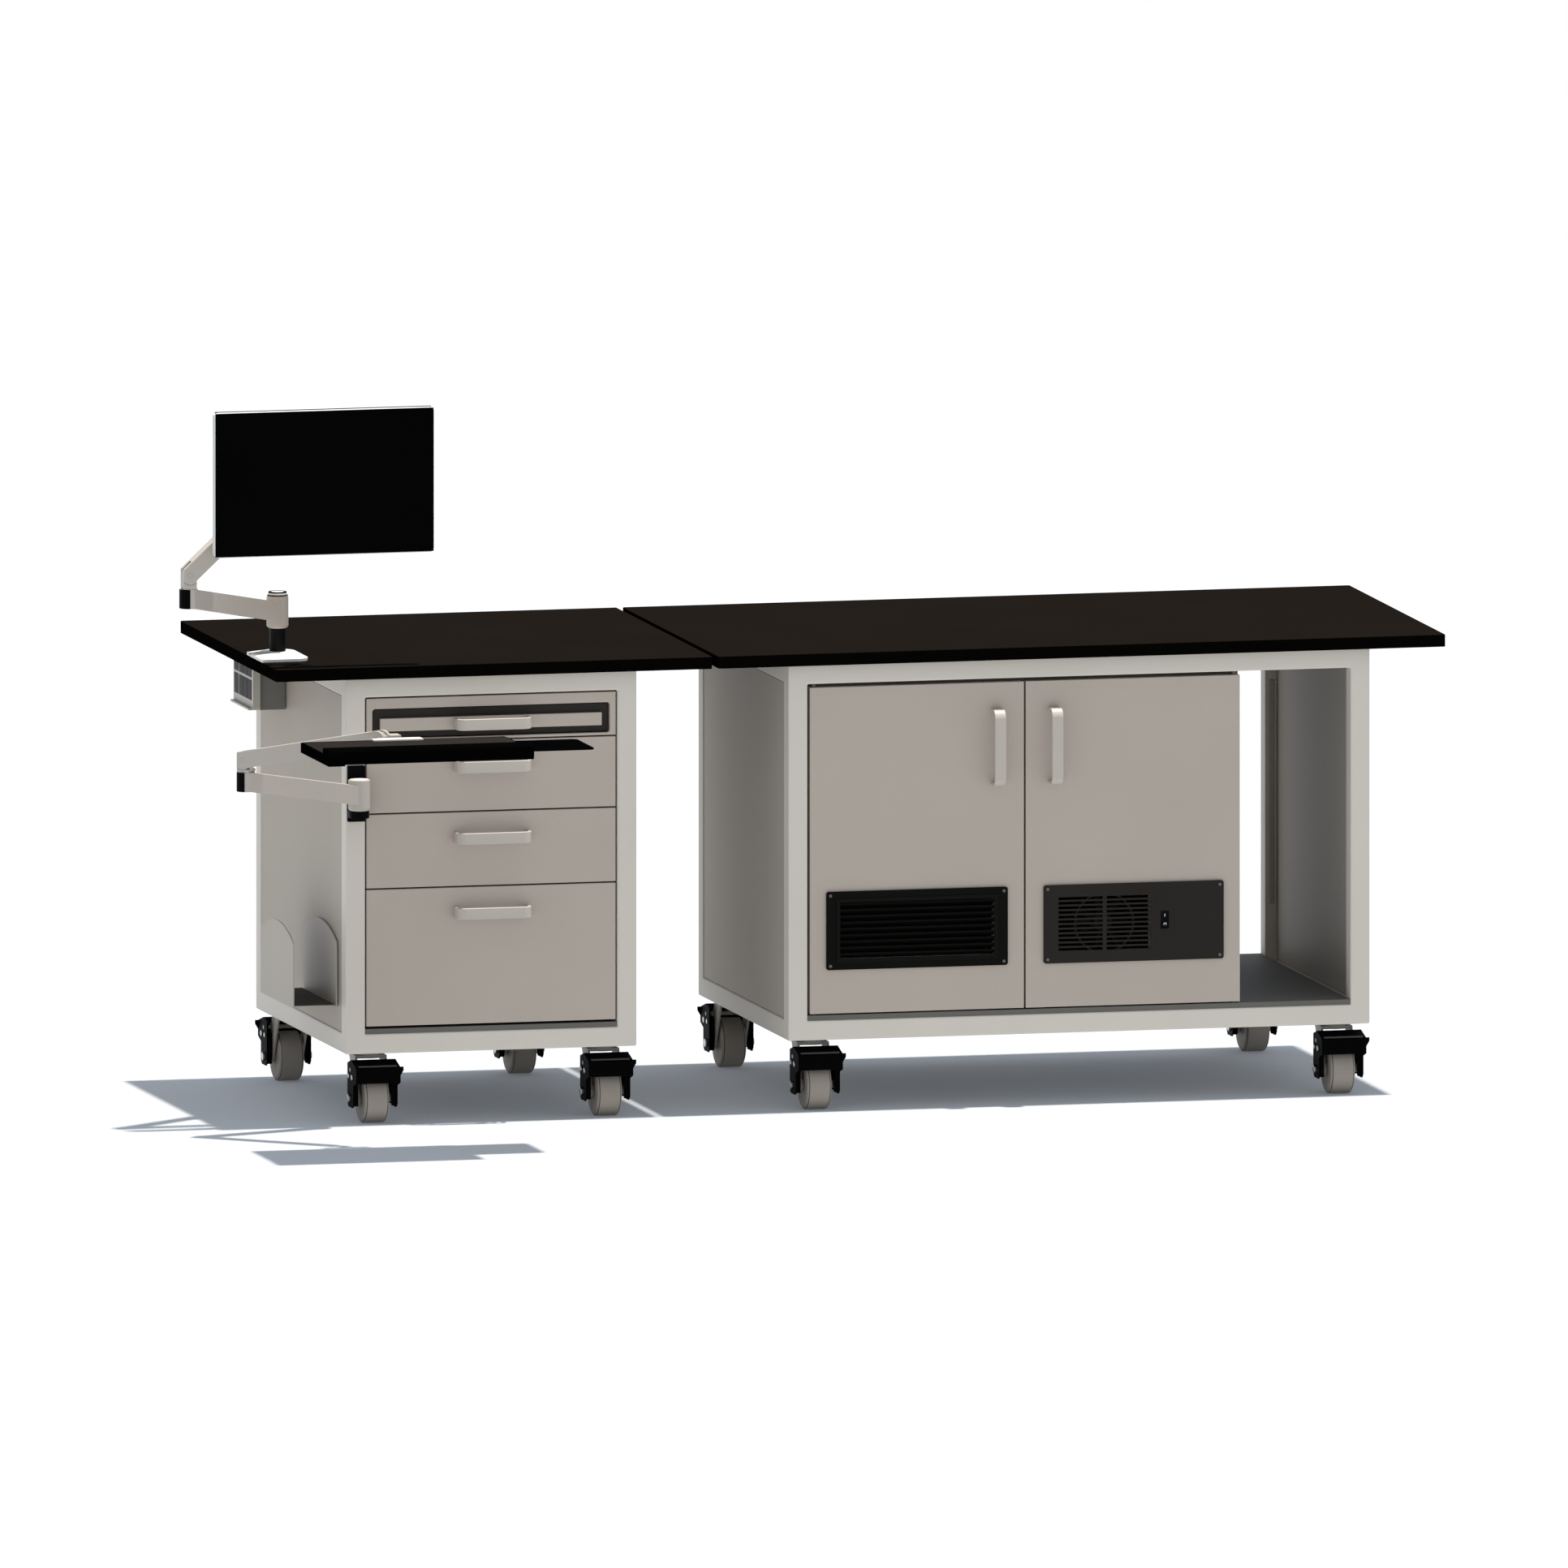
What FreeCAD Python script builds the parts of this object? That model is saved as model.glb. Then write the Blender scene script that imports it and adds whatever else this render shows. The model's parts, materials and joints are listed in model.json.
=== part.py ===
import FreeCAD, Part
import math
import os

# Two mobile instrument benches side by side, in millimetres: X to the right, Y to the rear, Z up.
# Everything is placed from the front left corner of the left worktop, on the floor.

# Worktops
worktop_height = 930.0
worktop_thickness = 25.0
worktop_depth = 815.0
worktop_corner = 4.0
worktop_gap = 12.7
left_worktop_width = 900.0
side_overhang = 150.0
front_overhang = 25.0
rear_overhang = 25.0

# Welded tube frames
tube_size = 40.0
tube_wall = 2.0
tube_corner = 4.0
bay_strip_width = 10.0
bay_strip_thickness = 4.0
bay_strip_top_gap = 113.0
bay_strip_lift = 114.0
bay_strip_inset = 28.0
bay_strip_screw_radius = 3.5
bay_strip_screw_head = 2.5
bay_strip_screw_drop = 12.0

# Infill panels
panel_thickness = 14.0
panel_recess = 2.0
panel_gap = 0.8
panel_corner = 5.0

# Apron and pull-out shelf
front_recess = 2.0
front_thickness = 18.0
apron_height = 90.0
apron_gap = 3.0
apron_side_border = 15.0
apron_top_border = 24.0
apron_bottom_border = 5.0
apron_slot_corner = 6.0
shelf_side_gap = 16.5
shelf_bar_height = 26.0
shelf_bar_drop = 20.0
shelf_bar_thickness = 8.0
shelf_fascia_thickness = 9.0
shelf_fascia_gap = 2.0
shelf_board_thickness = 18.0
shelf_board_depth = 520.0

# Drawers and their slides
drawer_side_gap = 3.0
drawer_gap = 3.0
first_drawer_height = 141.5
second_drawer_height = 148.5
drawer_bottom_gap = 15.0
pan_rear_gap = 89.0
pan_wall = 12.0
pan_floor = 8.0
pan_rise = 12.0
pan_drop = 28.0
slide_fixed = 6.0
slide_moving = 5.0
slide_clearance = 0.4
slide_height = 20.0
slide_rise = 30.0

# Bow handles
handle_length = 155.0
handle_width = 23.0
handle_thickness = 6.0
handle_standoff = 38.0
handle_bend = 18.0
drawer_handle_drop = 50.0

# Enclosure boards and doors
deck_thickness = 10.0
board_thickness = 18.0
open_bay_width = 226.0
door_thickness = 20.0
door_side_gap = 5.3
door_middle_gap = 4.0
door_top_gap = 7.8
door_bottom_gap = 3.0
door_back_gap = 6.0
door_end_gap = 2.0
door_pin_radius = 4.0
door_pin_inset = 10.0
door_pin_depth = 14.0
door_handle_inset = 57.0
door_handle_top = 52.0

# Vent and fan panels on the doors
vent_width = 374.0
vent_height = 158.0
vent_thickness = 5.0
vent_corner = 5.0
vent_lift = 88.2
vent_inset = 33.0
door_panel_margin = 34.35
louvre_side_border = 28.0
louvre_end_border = 22.0
louvre_count = 9
louvre_blade = 3.0
louvre_depth = 14.0
louvre_tilt_degrees = 40.0
fan_panel_width = 371.0
fan_panel_inset = 36.0
grille_width = 191.0
grille_end_border = 23.0
grille_inset = 30.0
grille_count = 12
grille_bar = 3.5
grille_rib = 8.0
fan_ring_radius = 62.0
fan_ring_wall = 4.0
fan_ring_depth = 34.0
fan_ring_clearance = 1.0
fan_strut = 12.0
fan_strut_thickness = 4.0
fan_pin_radius = 3.0
fan_pin_length = 20.0
fan_hub_radius = 19.0
fan_hub_depth = 16.0
fan_hub_gap = 3.0
fan_tip_clearance = 2.5
fan_blade_count = 7
fan_blade_thickness = 2.0
fan_blade_depth = 14.0
fan_blade_pitch_degrees = 35.0
rocker_width = 15.0
rocker_height = 34.0
rocker_depth = 14.0
rocker_proud = 3.0
rocker_slack = 1.6
rocker_pin_radius = 1.5
rocker_pin_length = 3.0
rocker_housing_wall = 4.0
rocker_offset = 124.0
rocker_lift = 3.0

# Outlet box under the left overhang
outlet_length = 155.0
outlet_height = 125.0
outlet_body_depth = 53.0
outlet_plate_depth = 15.0
outlet_from_rear = 121.0
outlet_plate_edge = 6.0
outlet_lip = 4.0
outlet_lip_reach = 8.0
socket_columns = 4
socket_rows = 2
socket_width = 27.0
socket_height = 33.0
socket_pitch_y = 36.0
socket_pitch_z = 46.0
socket_depth = 3.0
socket_corner = 5.0

# Computer holder low on the left side
holder_sheet = 3.0
holder_width = 92.0
holder_length = 275.0
holder_front = 96.0
holder_floor_height = 234.0
holder_side_height = 130.0
holder_arch_rise = 31.0
holder_pad = 30.0
holder_pad_lift = 40.0

# Swing arms, sizes shared by the monitor arm and the keyboard arm
running_clearance = 0.05
seat_clearance = 0.4
hub_radius = 22.0
hub_edge = 6.0
hub_pin_radius = 12.0
hub_roof = 8.0
lower_arm_width = 36.0
lower_arm_height = 39.0
elbow_pin_radius = 8.0
elbow_pin_depth = 26.0
heel_radius = 19.5
tongue_thickness = 14.0
tongue_radius = 13.0
tongue_clearance = 0.5
pivot_pin_radius = 5.0
upper_arm_width = 33.0
upper_arm_height = 34.0
upper_arm_slot = 21.0
pan_boss_radius = 11.0
pan_boss_height = 14.0
pan_pin_radius = 5.0
pan_plate = 4.0
tilt_offset = 21.0
tilt_barrel_radius = 7.0
tilt_pin_radius = 4.0
ear_thickness = 7.0
ear_radius = 8.0
ear_neck = 12.0

# Monitor mount, arm and display
mount_from_front = 200.0
mount_width = 166.0
mount_reach = 100.0
mount_corner = 30.0
mount_cut_x = 55.0
mount_cut_y = 34.0
mount_plate = 6.0
mount_groove_width = 34.0
mount_groove_depth = 3.0
monitor_post_inset = 63.0
monitor_post_from_front = 248.0
monitor_post_radius = 16.5
monitor_post_height = 47.0
monitor_hub_height = 65.0
monitor_lower_length = 287.0
monitor_lower_rise = 55.0
monitor_lower_degrees = 218.0
monitor_elbow_rise = 29.0
monitor_upper_length = 272.0
monitor_upper_degrees = 0.0
monitor_pitch_degrees = 43.0
monitor_drop_degrees = 25.0
monitor_head_reach = 66.0
monitor_barrel = 40.0
display_width = 453.0
display_height = 293.0
display_thickness = 20.0
display_corner = 9.0
display_back_width = 200.0
display_back_height = 170.0
display_back_depth = 6.0
display_back_corner = 30.0
display_ear_reach = 16.0

# Keyboard bracket, arm and trays
bracket_width = 36.0
bracket_height = 113.0
bracket_thickness = 8.0
bracket_from_top = 176.0
bracket_edge = 2.0
bracket_lug = 14.0
keyboard_hub_gap = 0.5
keyboard_hub_height = 62.0
keyboard_hub_lift = 25.0
keyboard_lower_length = 268.0
keyboard_lower_rise = 46.0
keyboard_lower_degrees = 198.5
keyboard_elbow_rise = 26.0
keyboard_upper_length = 306.0
keyboard_upper_degrees = -40.6
keyboard_pitch_degrees = 10.9
keyboard_drop_degrees = 20.0
keyboard_head_reach = 31.0
keyboard_barrel = 78.0
tray_width = 424.0
tray_left_reach = 199.0
tray_depth = 238.0
tray_thickness = 8.0
tray_corner = 18.0
tray_ear_reach = 10.0
tray_rim_width = 34.0
tray_rim_height = 20.0
palm_depth = 52.0
palm_height = 31.0
palm_drop = 10.0
palm_edge = 8.0
mouse_width = 232.0
mouse_depth = 156.0
mouse_thickness = 3.0
mouse_corner = 12.0
mouse_reach = 144.0
mouse_from_palm = 24.0
mouse_pin_radius = 4.0
mouse_pin_inset = 24.0
mouse_pin_head = 3.0
mouse_pin_head_radius = 9.0

# Brake casters
caster_height = 145.0
caster_inset_x = 60.0
caster_front_inset = 90.0
caster_rear_inset = 50.0
caster_front_shift = 7.0
caster_plate_x = 92.0
caster_plate_y = 90.0
caster_plate_thickness = 5.0
caster_plate_corner = 6.0
caster_trail = 35.0
kingpin_radius = 6.0
race_radius = 29.0
race_height = 6.0
crown_thickness = 6.0
fork_gap = 57.0
fork_sheet = 4.0
fork_top_half = 26.0
fork_eye_radius = 14.0
axle_radius = 6.0
axle_cap_radius = 9.0
axle_cap_reach = 7.5
wheel_radius = 50.0
wheel_width = 50.0
wheel_shoulder = 5.0
wheel_boss_radius = 11.0
wheel_boss_gap = 0.5
pedal_width = 92.0
pedal_sheet = 3.0
pedal_front = 55.0
pedal_front_low = 85.0
pedal_front_high = 112.0
pedal_nose = 6.0
pedal_back = 10.0
pedal_top = 128.0
pedal_tail = 20.0
pedal_cheek_low = 32.0
pedal_cheek_half = 15.0
pedal_cheek_bevel = 8.0
pedal_pin_radius = 4.0
pedal_pin_back = 5.0
pedal_pin_height = 108.0
pedal_pin_end = 1.0

# How far every cut runs past the face that it opens
overrun = 5.0

V = FreeCAD.Vector
ORIGIN = V(0, 0, 0)
X_AXIS = V(1, 0, 0)
Y_AXIS = V(0, 1, 0)
Z_AXIS = V(0, 0, 1)

# Places worked out from the sizes
frame_bottom = caster_height
frame_top = worktop_height - worktop_thickness
left_door_width = vent_inset + vent_width + door_panel_margin
right_door_width = fan_panel_inset + fan_panel_width + door_panel_margin
enclosure_width = door_side_gap + left_door_width + door_middle_gap + right_door_width + door_end_gap
right_frame_width = 2 * tube_size + enclosure_width + open_bay_width
right_worktop_width = right_frame_width + 2 * side_overhang
right_worktop_start = left_worktop_width + worktop_gap
left_frame_x = (side_overhang, left_worktop_width - side_overhang)
right_frame_x = (right_worktop_start + side_overhang, right_worktop_start + side_overhang + right_frame_width)
frame_y = (front_overhang, worktop_depth - rear_overhang)
bay_z = (frame_bottom + tube_size, frame_top - tube_size)
front_face = front_overhang + front_recess
front_back = front_face + front_thickness
back_panel_y = (frame_y[1] - panel_recess - panel_thickness, frame_y[1] - panel_recess)


def grown(span, amount):
    """A span that is longer by the amount at both ends."""
    return (span[0] - amount, span[1] + amount)


def centred(middle, length):
    """A span of a length about its middle."""
    return (middle - length / 2, middle + length / 2)


def midpoint(span):
    return (span[0] + span[1]) / 2


def block(x_span, y_span, z_span):
    """A box between two places along each axis."""
    corner = V(x_span[0], y_span[0], z_span[0])
    return Part.makeBox(x_span[1] - x_span[0], y_span[1] - y_span[0], z_span[1] - z_span[0], corner)


def edges_along(shape, axis):
    """The straight edges of a shape that run along an axis."""
    chosen = []
    for edge in shape.Edges:
        run = edge.Vertexes[-1].Point - edge.Vertexes[0].Point
        if abs(run.dot(axis)) > run.Length * math.cos(math.radians(1)):
            chosen.append(edge)
    return chosen


def soft_block(x_span, y_span, z_span, radius, axis):
    """A box whose edges along one axis are rounded."""
    shape = block(x_span, y_span, z_span)
    return shape.makeFillet(radius, edges_along(shape, axis))


def rod(radius, start, end):
    """A round bar between two points."""
    run = end - start
    return Part.makeCylinder(radius, run.Length, start, run)


def prism(points, run):
    """A straight bar whose section is a polygon."""
    return Part.Face(Part.makePolygon(points + points[:1])).extrude(run)


def joined(*shapes):
    """Several touching shapes as one solid."""
    return shapes[0].multiFuse(list(shapes[1:])).removeSplitter()


def turned(shape, degrees, axis=Z_AXIS, centre=ORIGIN):
    """A copy turned about an axis through a point."""
    copy = shape.copy()
    copy.rotate(centre, axis, degrees)
    return copy


def moved(shape, place):
    """A copy shifted by a vector."""
    copy = shape.copy()
    copy.translate(place)
    return copy


def square_tube(x_span, y_span, z_span, axis):
    """A hollow tube with rounded corners, open at both ends."""
    outer = soft_block(x_span, y_span, z_span, tube_corner, axis)
    bore = []
    for span, share in zip((x_span, y_span, z_span), axis):
        bore.append(grown(span, overrun if share else -tube_wall))
    return outer.cut(block(*bore))


def end_spans(span):
    """The tube-wide spans at both ends of a frame."""
    return ((span[0], span[0] + tube_size), (span[1] - tube_size, span[1]))


def frame_tubes(frame_x):
    """Four posts and eight rails of one frame, as separate tubes."""
    frame_z = (frame_bottom, frame_top)
    inner_x = grown(frame_x, -tube_size)
    inner_y = grown(frame_y, -tube_size)
    tubes = []
    for post_x in end_spans(frame_x):
        for post_y in end_spans(frame_y):
            tubes.append(square_tube(post_x, post_y, frame_z, Z_AXIS))
    for rail_z in end_spans(frame_z):
        for rail_x in end_spans(frame_x):
            tubes.append(square_tube(rail_x, inner_y, rail_z, Y_AXIS))
        for rail_y in end_spans(frame_y):
            tubes.append(square_tube(inner_x, rail_y, rail_z, X_AXIS))
    return tubes


def bay_strip():
    """Flat strip with a screw on the front of the rear right post, in the open bay."""
    middle = right_frame_x[1] - tube_size + bay_strip_inset / 2
    back = frame_y[1] - tube_size
    bottom = bay_z[0] + bay_strip_lift
    top = bay_z[1] - bay_strip_top_gap
    strip = block(centred(middle, bay_strip_width), (back - bay_strip_thickness, back), (bottom, top))
    seat = V(middle, back - bay_strip_thickness, top - bay_strip_screw_drop)
    screw = rod(bay_strip_screw_radius, seat, seat - Y_AXIS * bay_strip_screw_head)
    return joined(strip, screw)


def worktop(start, width):
    return soft_block((start, start + width), (0, worktop_depth), (frame_top, worktop_height),
                      worktop_corner, Z_AXIS)


def side_panel(frame_x, side):
    """Inset panel in one side of a frame: side 0 is the left, side 1 the right."""
    outer = frame_x[side]
    inward = 1 - 2 * side
    faces = sorted((outer + inward * panel_recess, outer + inward * (panel_recess + panel_thickness)))
    return soft_block(tuple(faces), grown(frame_y, -tube_size - panel_gap), grown(bay_z, -panel_gap),
                      panel_corner, X_AXIS)


def back_panel(frame_x):
    return soft_block(grown(frame_x, -tube_size - panel_gap), back_panel_y, grown(bay_z, -panel_gap),
                      panel_corner, Y_AXIS)


def bow_handle():
    """Bent flat bar along X that stands out towards -Y from the face Y = 0."""
    half = handle_length / 2
    outer = block((-half, half), (-handle_standoff, 0), centred(0, handle_width))
    inner = block((handle_thickness - half, half - handle_thickness),
                  (handle_thickness - handle_standoff, overrun), centred(0, handle_width + overrun))
    solids = []
    for shape, bend in ((outer, handle_bend), (inner, handle_bend - handle_thickness)):
        low = shape.BoundBox.YMin
        front = [edge for edge in edges_along(shape, Z_AXIS) if edge.BoundBox.YMax < low + handle_thickness]
        solids.append(shape.makeFillet(bend, front))
    return solids[0].cut(solids[1])


# Apron and shelf places
left_bay_x = grown(left_frame_x, -tube_size)
left_middle = midpoint(left_bay_x)
apron_z = (bay_z[1] - apron_height, bay_z[1])
slot_x = grown(left_bay_x, -apron_side_border)
slot_z = (apron_z[0] + apron_bottom_border, apron_z[1] - apron_top_border)
shelf_x = grown(slot_x, -shelf_side_gap)
shelf_bar_z = (slot_z[1] - shelf_bar_drop - shelf_bar_height, slot_z[1] - shelf_bar_drop)
shelf_bar_y = (front_face, front_face + shelf_bar_thickness)
shelf_fascia_y = (shelf_bar_y[1], shelf_bar_y[1] + shelf_fascia_thickness)
shelf_board_z = centred(midpoint(shelf_bar_z), shelf_board_thickness)
shelf_slide_z = centred(midpoint(shelf_bar_z), slide_height)
shelf_inner_x = grown(shelf_x, slide_moving + slide_clearance)


def apron():
    """Front strip under the worktop with a wide slot for the shelf."""
    plate_z = (apron_z[0], apron_z[1] - apron_gap)
    plate = block(grown(left_bay_x, -apron_gap), (front_face, front_back), plate_z)
    slot = soft_block(slot_x, grown((front_face, front_back), overrun), slot_z, apron_slot_corner, Y_AXIS)
    return plate.cut(slot)


def pullout_shelf():
    """Board with a fascia in the slot, a front bar, a bow handle and a slide bar on each side."""
    board_y = (shelf_fascia_y[1], shelf_fascia_y[1] + shelf_board_depth)
    bar = block(shelf_x, shelf_bar_y, shelf_bar_z)
    fascia = block(grown(slot_x, -shelf_fascia_gap), shelf_fascia_y, grown(slot_z, -shelf_fascia_gap))
    board = block(shelf_x, board_y, shelf_board_z)
    handle = moved(bow_handle(), V(left_middle, front_face, midpoint(shelf_bar_z)))
    left_bar = block((shelf_x[0] - slide_moving, shelf_x[0]), board_y, shelf_board_z)
    right_bar = block((shelf_x[1], shelf_x[1] + slide_moving), board_y, shelf_board_z)
    return [bar, fascia, board, handle, left_bar, right_bar]


def drawer_spans():
    """Heights of the three drawer fronts, from the top down."""
    first_top = apron_z[0] - drawer_gap
    first = (first_top - first_drawer_height, first_top)
    second_top = first[0] - drawer_gap
    second = (second_top - second_drawer_height, second_top)
    third = (bay_z[0] + drawer_bottom_gap, second[0] - drawer_gap)
    return (first, second, third)


pan_x = grown(left_bay_x, -slide_fixed - slide_clearance - slide_moving)
pan_y = (front_back, back_panel_y[0] - pan_rear_gap)


def drawer_slide_z(front_z):
    return (front_z[0] + slide_rise, front_z[0] + slide_rise + slide_height)


def drawer_inside(front_z):
    """The hollow of a drawer's pan as three spans."""
    return (grown(pan_x, -pan_wall), grown(pan_y, -pan_wall),
            (front_z[0] + pan_rise + pan_floor, front_z[1] - pan_drop))


def drawer(front_z):
    """Front with its handle, a pan of plates and the moving slide bars."""
    inside_x, inside_y, inside_z = drawer_inside(front_z)
    wall_z = (inside_z[0], inside_z[1])
    slide_z = drawer_slide_z(front_z)
    front = block(grown(left_bay_x, -drawer_side_gap), (front_face, front_back), front_z)
    handle = moved(bow_handle(), V(left_middle, front_face, front_z[1] - drawer_handle_drop))
    floor = block(pan_x, pan_y, (inside_z[0] - pan_floor, inside_z[0]))
    left_wall = block((pan_x[0], inside_x[0]), pan_y, wall_z)
    right_wall = block((inside_x[1], pan_x[1]), pan_y, wall_z)
    front_wall = block(inside_x, (pan_y[0], inside_y[0]), wall_z)
    rear_wall = block(inside_x, (inside_y[1], pan_y[1]), wall_z)
    left_bar = block((pan_x[0] - slide_moving, pan_x[0]), pan_y, slide_z)
    right_bar = block((pan_x[1], pan_x[1] + slide_moving), pan_y, slide_z)
    return [front, handle, floor, left_wall, right_wall, front_wall, rear_wall, left_bar, right_bar]


def slide_rails():
    """Fixed bars between the posts that carry the drawers and the shelf; the shelf's bars hold the apron."""
    rail_end = frame_y[1] - tube_size / 2
    rail_y = (front_back + drawer_gap, rail_end)
    shelf_rail_y = (front_back, rail_end)
    rails = []
    for front_z in drawer_spans():
        slide_z = drawer_slide_z(front_z)
        rails.append(block((left_bay_x[0], left_bay_x[0] + slide_fixed), rail_y, slide_z))
        rails.append(block((left_bay_x[1] - slide_fixed, left_bay_x[1]), rail_y, slide_z))
    rails.append(block((left_bay_x[0], shelf_inner_x[0]), shelf_rail_y, shelf_slide_z))
    rails.append(block((shelf_inner_x[1], left_bay_x[1]), shelf_rail_y, shelf_slide_z))
    return rails


# Enclosure and door places
right_bay_x = grown(right_frame_x, -tube_size)
enclosure_x = (right_bay_x[0], right_bay_x[0] + enclosure_width)
deck_top = bay_z[0] + deck_thickness
board_y = (front_face + door_thickness + door_back_gap, frame_y[1] - panel_recess)
inside_x = grown(enclosure_x, -board_thickness)
inside_z = (deck_top, bay_z[1] - board_thickness)
door_z = (deck_top + door_bottom_gap, bay_z[1] - door_top_gap)
doors_x = (enclosure_x[0] + door_side_gap, enclosure_x[1] - door_end_gap)
left_door_x = (doors_x[0], doors_x[0] + left_door_width)
right_door_x = (doors_x[1] - right_door_width, doors_x[1])
door_y = (front_face, front_face + door_thickness)
left_hinge = V(left_door_x[0] + door_pin_inset, midpoint(door_y), 0)
right_hinge = V(right_door_x[1] - door_pin_inset, midpoint(door_y), 0)


def door_pins(hinge, radius):
    """Upper and lower pin of one door, or its bores when the radius has clearance."""
    low = rod(radius, V(hinge.x, hinge.y, deck_top), V(hinge.x, hinge.y, door_z[0] + door_pin_depth))
    high = rod(radius, V(hinge.x, hinge.y, door_z[1] - door_pin_depth), V(hinge.x, hinge.y, bay_z[1]))
    return [low, high]


def inner_boards():
    """Decks of both benches, two walls, a top, a back and the door pins."""
    left_deck = block(left_bay_x, (front_face, back_panel_y[0] - panel_gap), (bay_z[0], deck_top))
    deck = block(right_bay_x, (front_face, board_y[1]), (bay_z[0], deck_top))
    left_wall = block((enclosure_x[0], inside_x[0]), board_y, (deck_top, bay_z[1]))
    divider = block((inside_x[1], enclosure_x[1]), board_y, (deck_top, bay_z[1]))
    top = block(inside_x, board_y, (inside_z[1], bay_z[1]))
    back = block(inside_x, (board_y[1] - board_thickness, board_y[1]), inside_z)
    pins = door_pins(left_hinge, door_pin_radius) + door_pins(right_hinge, door_pin_radius)
    return [left_deck, deck, left_wall, divider, top, back] + pins


# Vent and fan panel places on the doors
vent_x = (left_door_x[0] + vent_inset, left_door_x[1] - door_panel_margin)
vent_z = (door_z[0] + vent_lift, door_z[0] + vent_lift + vent_height)
louvre_x = grown(vent_x, -louvre_side_border)
louvre_z = grown(vent_z, -louvre_end_border)
fan_panel_x = (right_door_x[0] + fan_panel_inset, right_door_x[1] - door_panel_margin)
grille_x = (fan_panel_x[0] + grille_inset, fan_panel_x[0] + grille_inset + grille_width)
grille_z = grown(vent_z, -grille_end_border)
fan_centre = V(midpoint(grille_x), front_face, midpoint(vent_z))
rocker_centre = V(fan_centre.x + rocker_offset, front_face - vent_thickness, fan_centre.z + rocker_lift)
ring_inner = fan_ring_radius - fan_ring_wall
pin_base = front_face + fan_ring_depth - fan_strut_thickness


def rocker_well(wall):
    """The rocker's pocket grown by a wall, from the panel's front face backwards."""
    depth = (rocker_centre.y, rocker_centre.y + rocker_depth + wall)
    return block(centred(rocker_centre.x, rocker_width + rocker_slack + 2 * wall), depth,
                 centred(rocker_centre.z, rocker_height + rocker_slack + 2 * wall))


def rocker_axis(reach):
    """Two points on the rocker's pivot line, a reach to each side."""
    pivot = V(rocker_centre.x, rocker_centre.y + rocker_depth / 2, rocker_centre.z)
    return (pivot - X_AXIS * reach, pivot + X_AXIS * reach)


def vertical_handle(x, top):
    """A bow handle that stands upright on a door."""
    return moved(turned(bow_handle(), 90, Y_AXIS), V(x, front_face, top - handle_length / 2))


def door(door_x, hinge, handle_x, opening):
    """A door with bores for its pins, an opening behind its panel, and its handle."""
    leaf = block(door_x, door_y, door_z).cut(opening)
    for bore in door_pins(hinge, door_pin_radius + running_clearance):
        leaf = leaf.cut(bore)
    return [leaf, vertical_handle(handle_x, door_z[1] - door_handle_top)]


def left_door():
    opening = block(louvre_x, grown(door_y, overrun), louvre_z)
    return door(left_door_x, left_hinge, left_door_x[1] - door_handle_inset, opening)


def right_door():
    ring_hole = rod(fan_ring_radius + fan_ring_clearance, V(fan_centre.x, door_y[0] - overrun, fan_centre.z),
                    V(fan_centre.x, door_y[1] + overrun, fan_centre.z))
    grille_hole = block(grille_x, grown(door_y, overrun), grille_z)
    opening = ring_hole.multiFuse([grille_hole, rocker_well(rocker_housing_wall + fan_ring_clearance)])
    return door(right_door_x, right_hinge, right_door_x[0] + door_handle_inset, opening)


def panel_plate(plate_x):
    """Flat plate with rounded corners on the face of a door."""
    return soft_block(plate_x, (front_face - vent_thickness, front_face), vent_z, vent_corner, Y_AXIS)


def vent_panel():
    """Plate with tilted louvre blades across its opening."""
    plate = panel_plate(vent_x)
    plate = plate.cut(block(louvre_x, grown((front_face - vent_thickness, front_face), overrun), louvre_z))
    pitch = (louvre_z[1] - louvre_z[0]) / louvre_count
    blades = []
    for index in range(louvre_count):
        middle = V(0, front_face, louvre_z[0] + (index + 1 / 2) * pitch)
        blade = block(louvre_x, centred(middle.y, louvre_depth), centred(middle.z, louvre_blade))
        blades.append(turned(blade, -louvre_tilt_degrees, X_AXIS, middle))
    return joined(plate, *blades)


def grille_plate():
    """Plate with rows of slots on both sides of a middle rib."""
    plate = panel_plate(fan_panel_x)
    plate_y = grown((front_face - vent_thickness, front_face), overrun)
    pitch = (grille_z[1] - grille_z[0]) / grille_count
    half_width = (grille_width - grille_rib) / 2
    for index in range(grille_count):
        slot_height = centred(grille_z[0] + (index + 1 / 2) * pitch, pitch - grille_bar)
        for slot_start in (grille_x[0], grille_x[1] - half_width):
            plate = plate.cut(block((slot_start, slot_start + half_width), plate_y, slot_height))
    return plate


def fan_panel():
    """Grille plate with a fan ring, its strut and shaft pin, and the rocker's housing."""
    ring = rod(fan_ring_radius, fan_centre, fan_centre + Y_AXIS * fan_ring_depth)
    ring_back = fan_centre + Y_AXIS * (fan_ring_depth + overrun)
    ring = ring.cut(rod(ring_inner, fan_centre - Y_AXIS * overrun, ring_back))
    strut = block(centred(fan_centre.x, 2 * ring_inner + fan_ring_wall),
                  (pin_base, front_face + fan_ring_depth), centred(fan_centre.z, fan_strut))
    pin_foot = V(fan_centre.x, pin_base, fan_centre.z)
    pin = rod(fan_pin_radius, pin_foot, pin_foot - Y_AXIS * fan_pin_length)
    body = joined(grille_plate(), ring, strut, pin, rocker_well(rocker_housing_wall))
    pin_bore = rod(rocker_pin_radius + running_clearance,
                   *rocker_axis(rocker_width / 2 + rocker_slack + rocker_pin_length))
    return body.cut(rocker_well(0)).cut(pin_bore)


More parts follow.
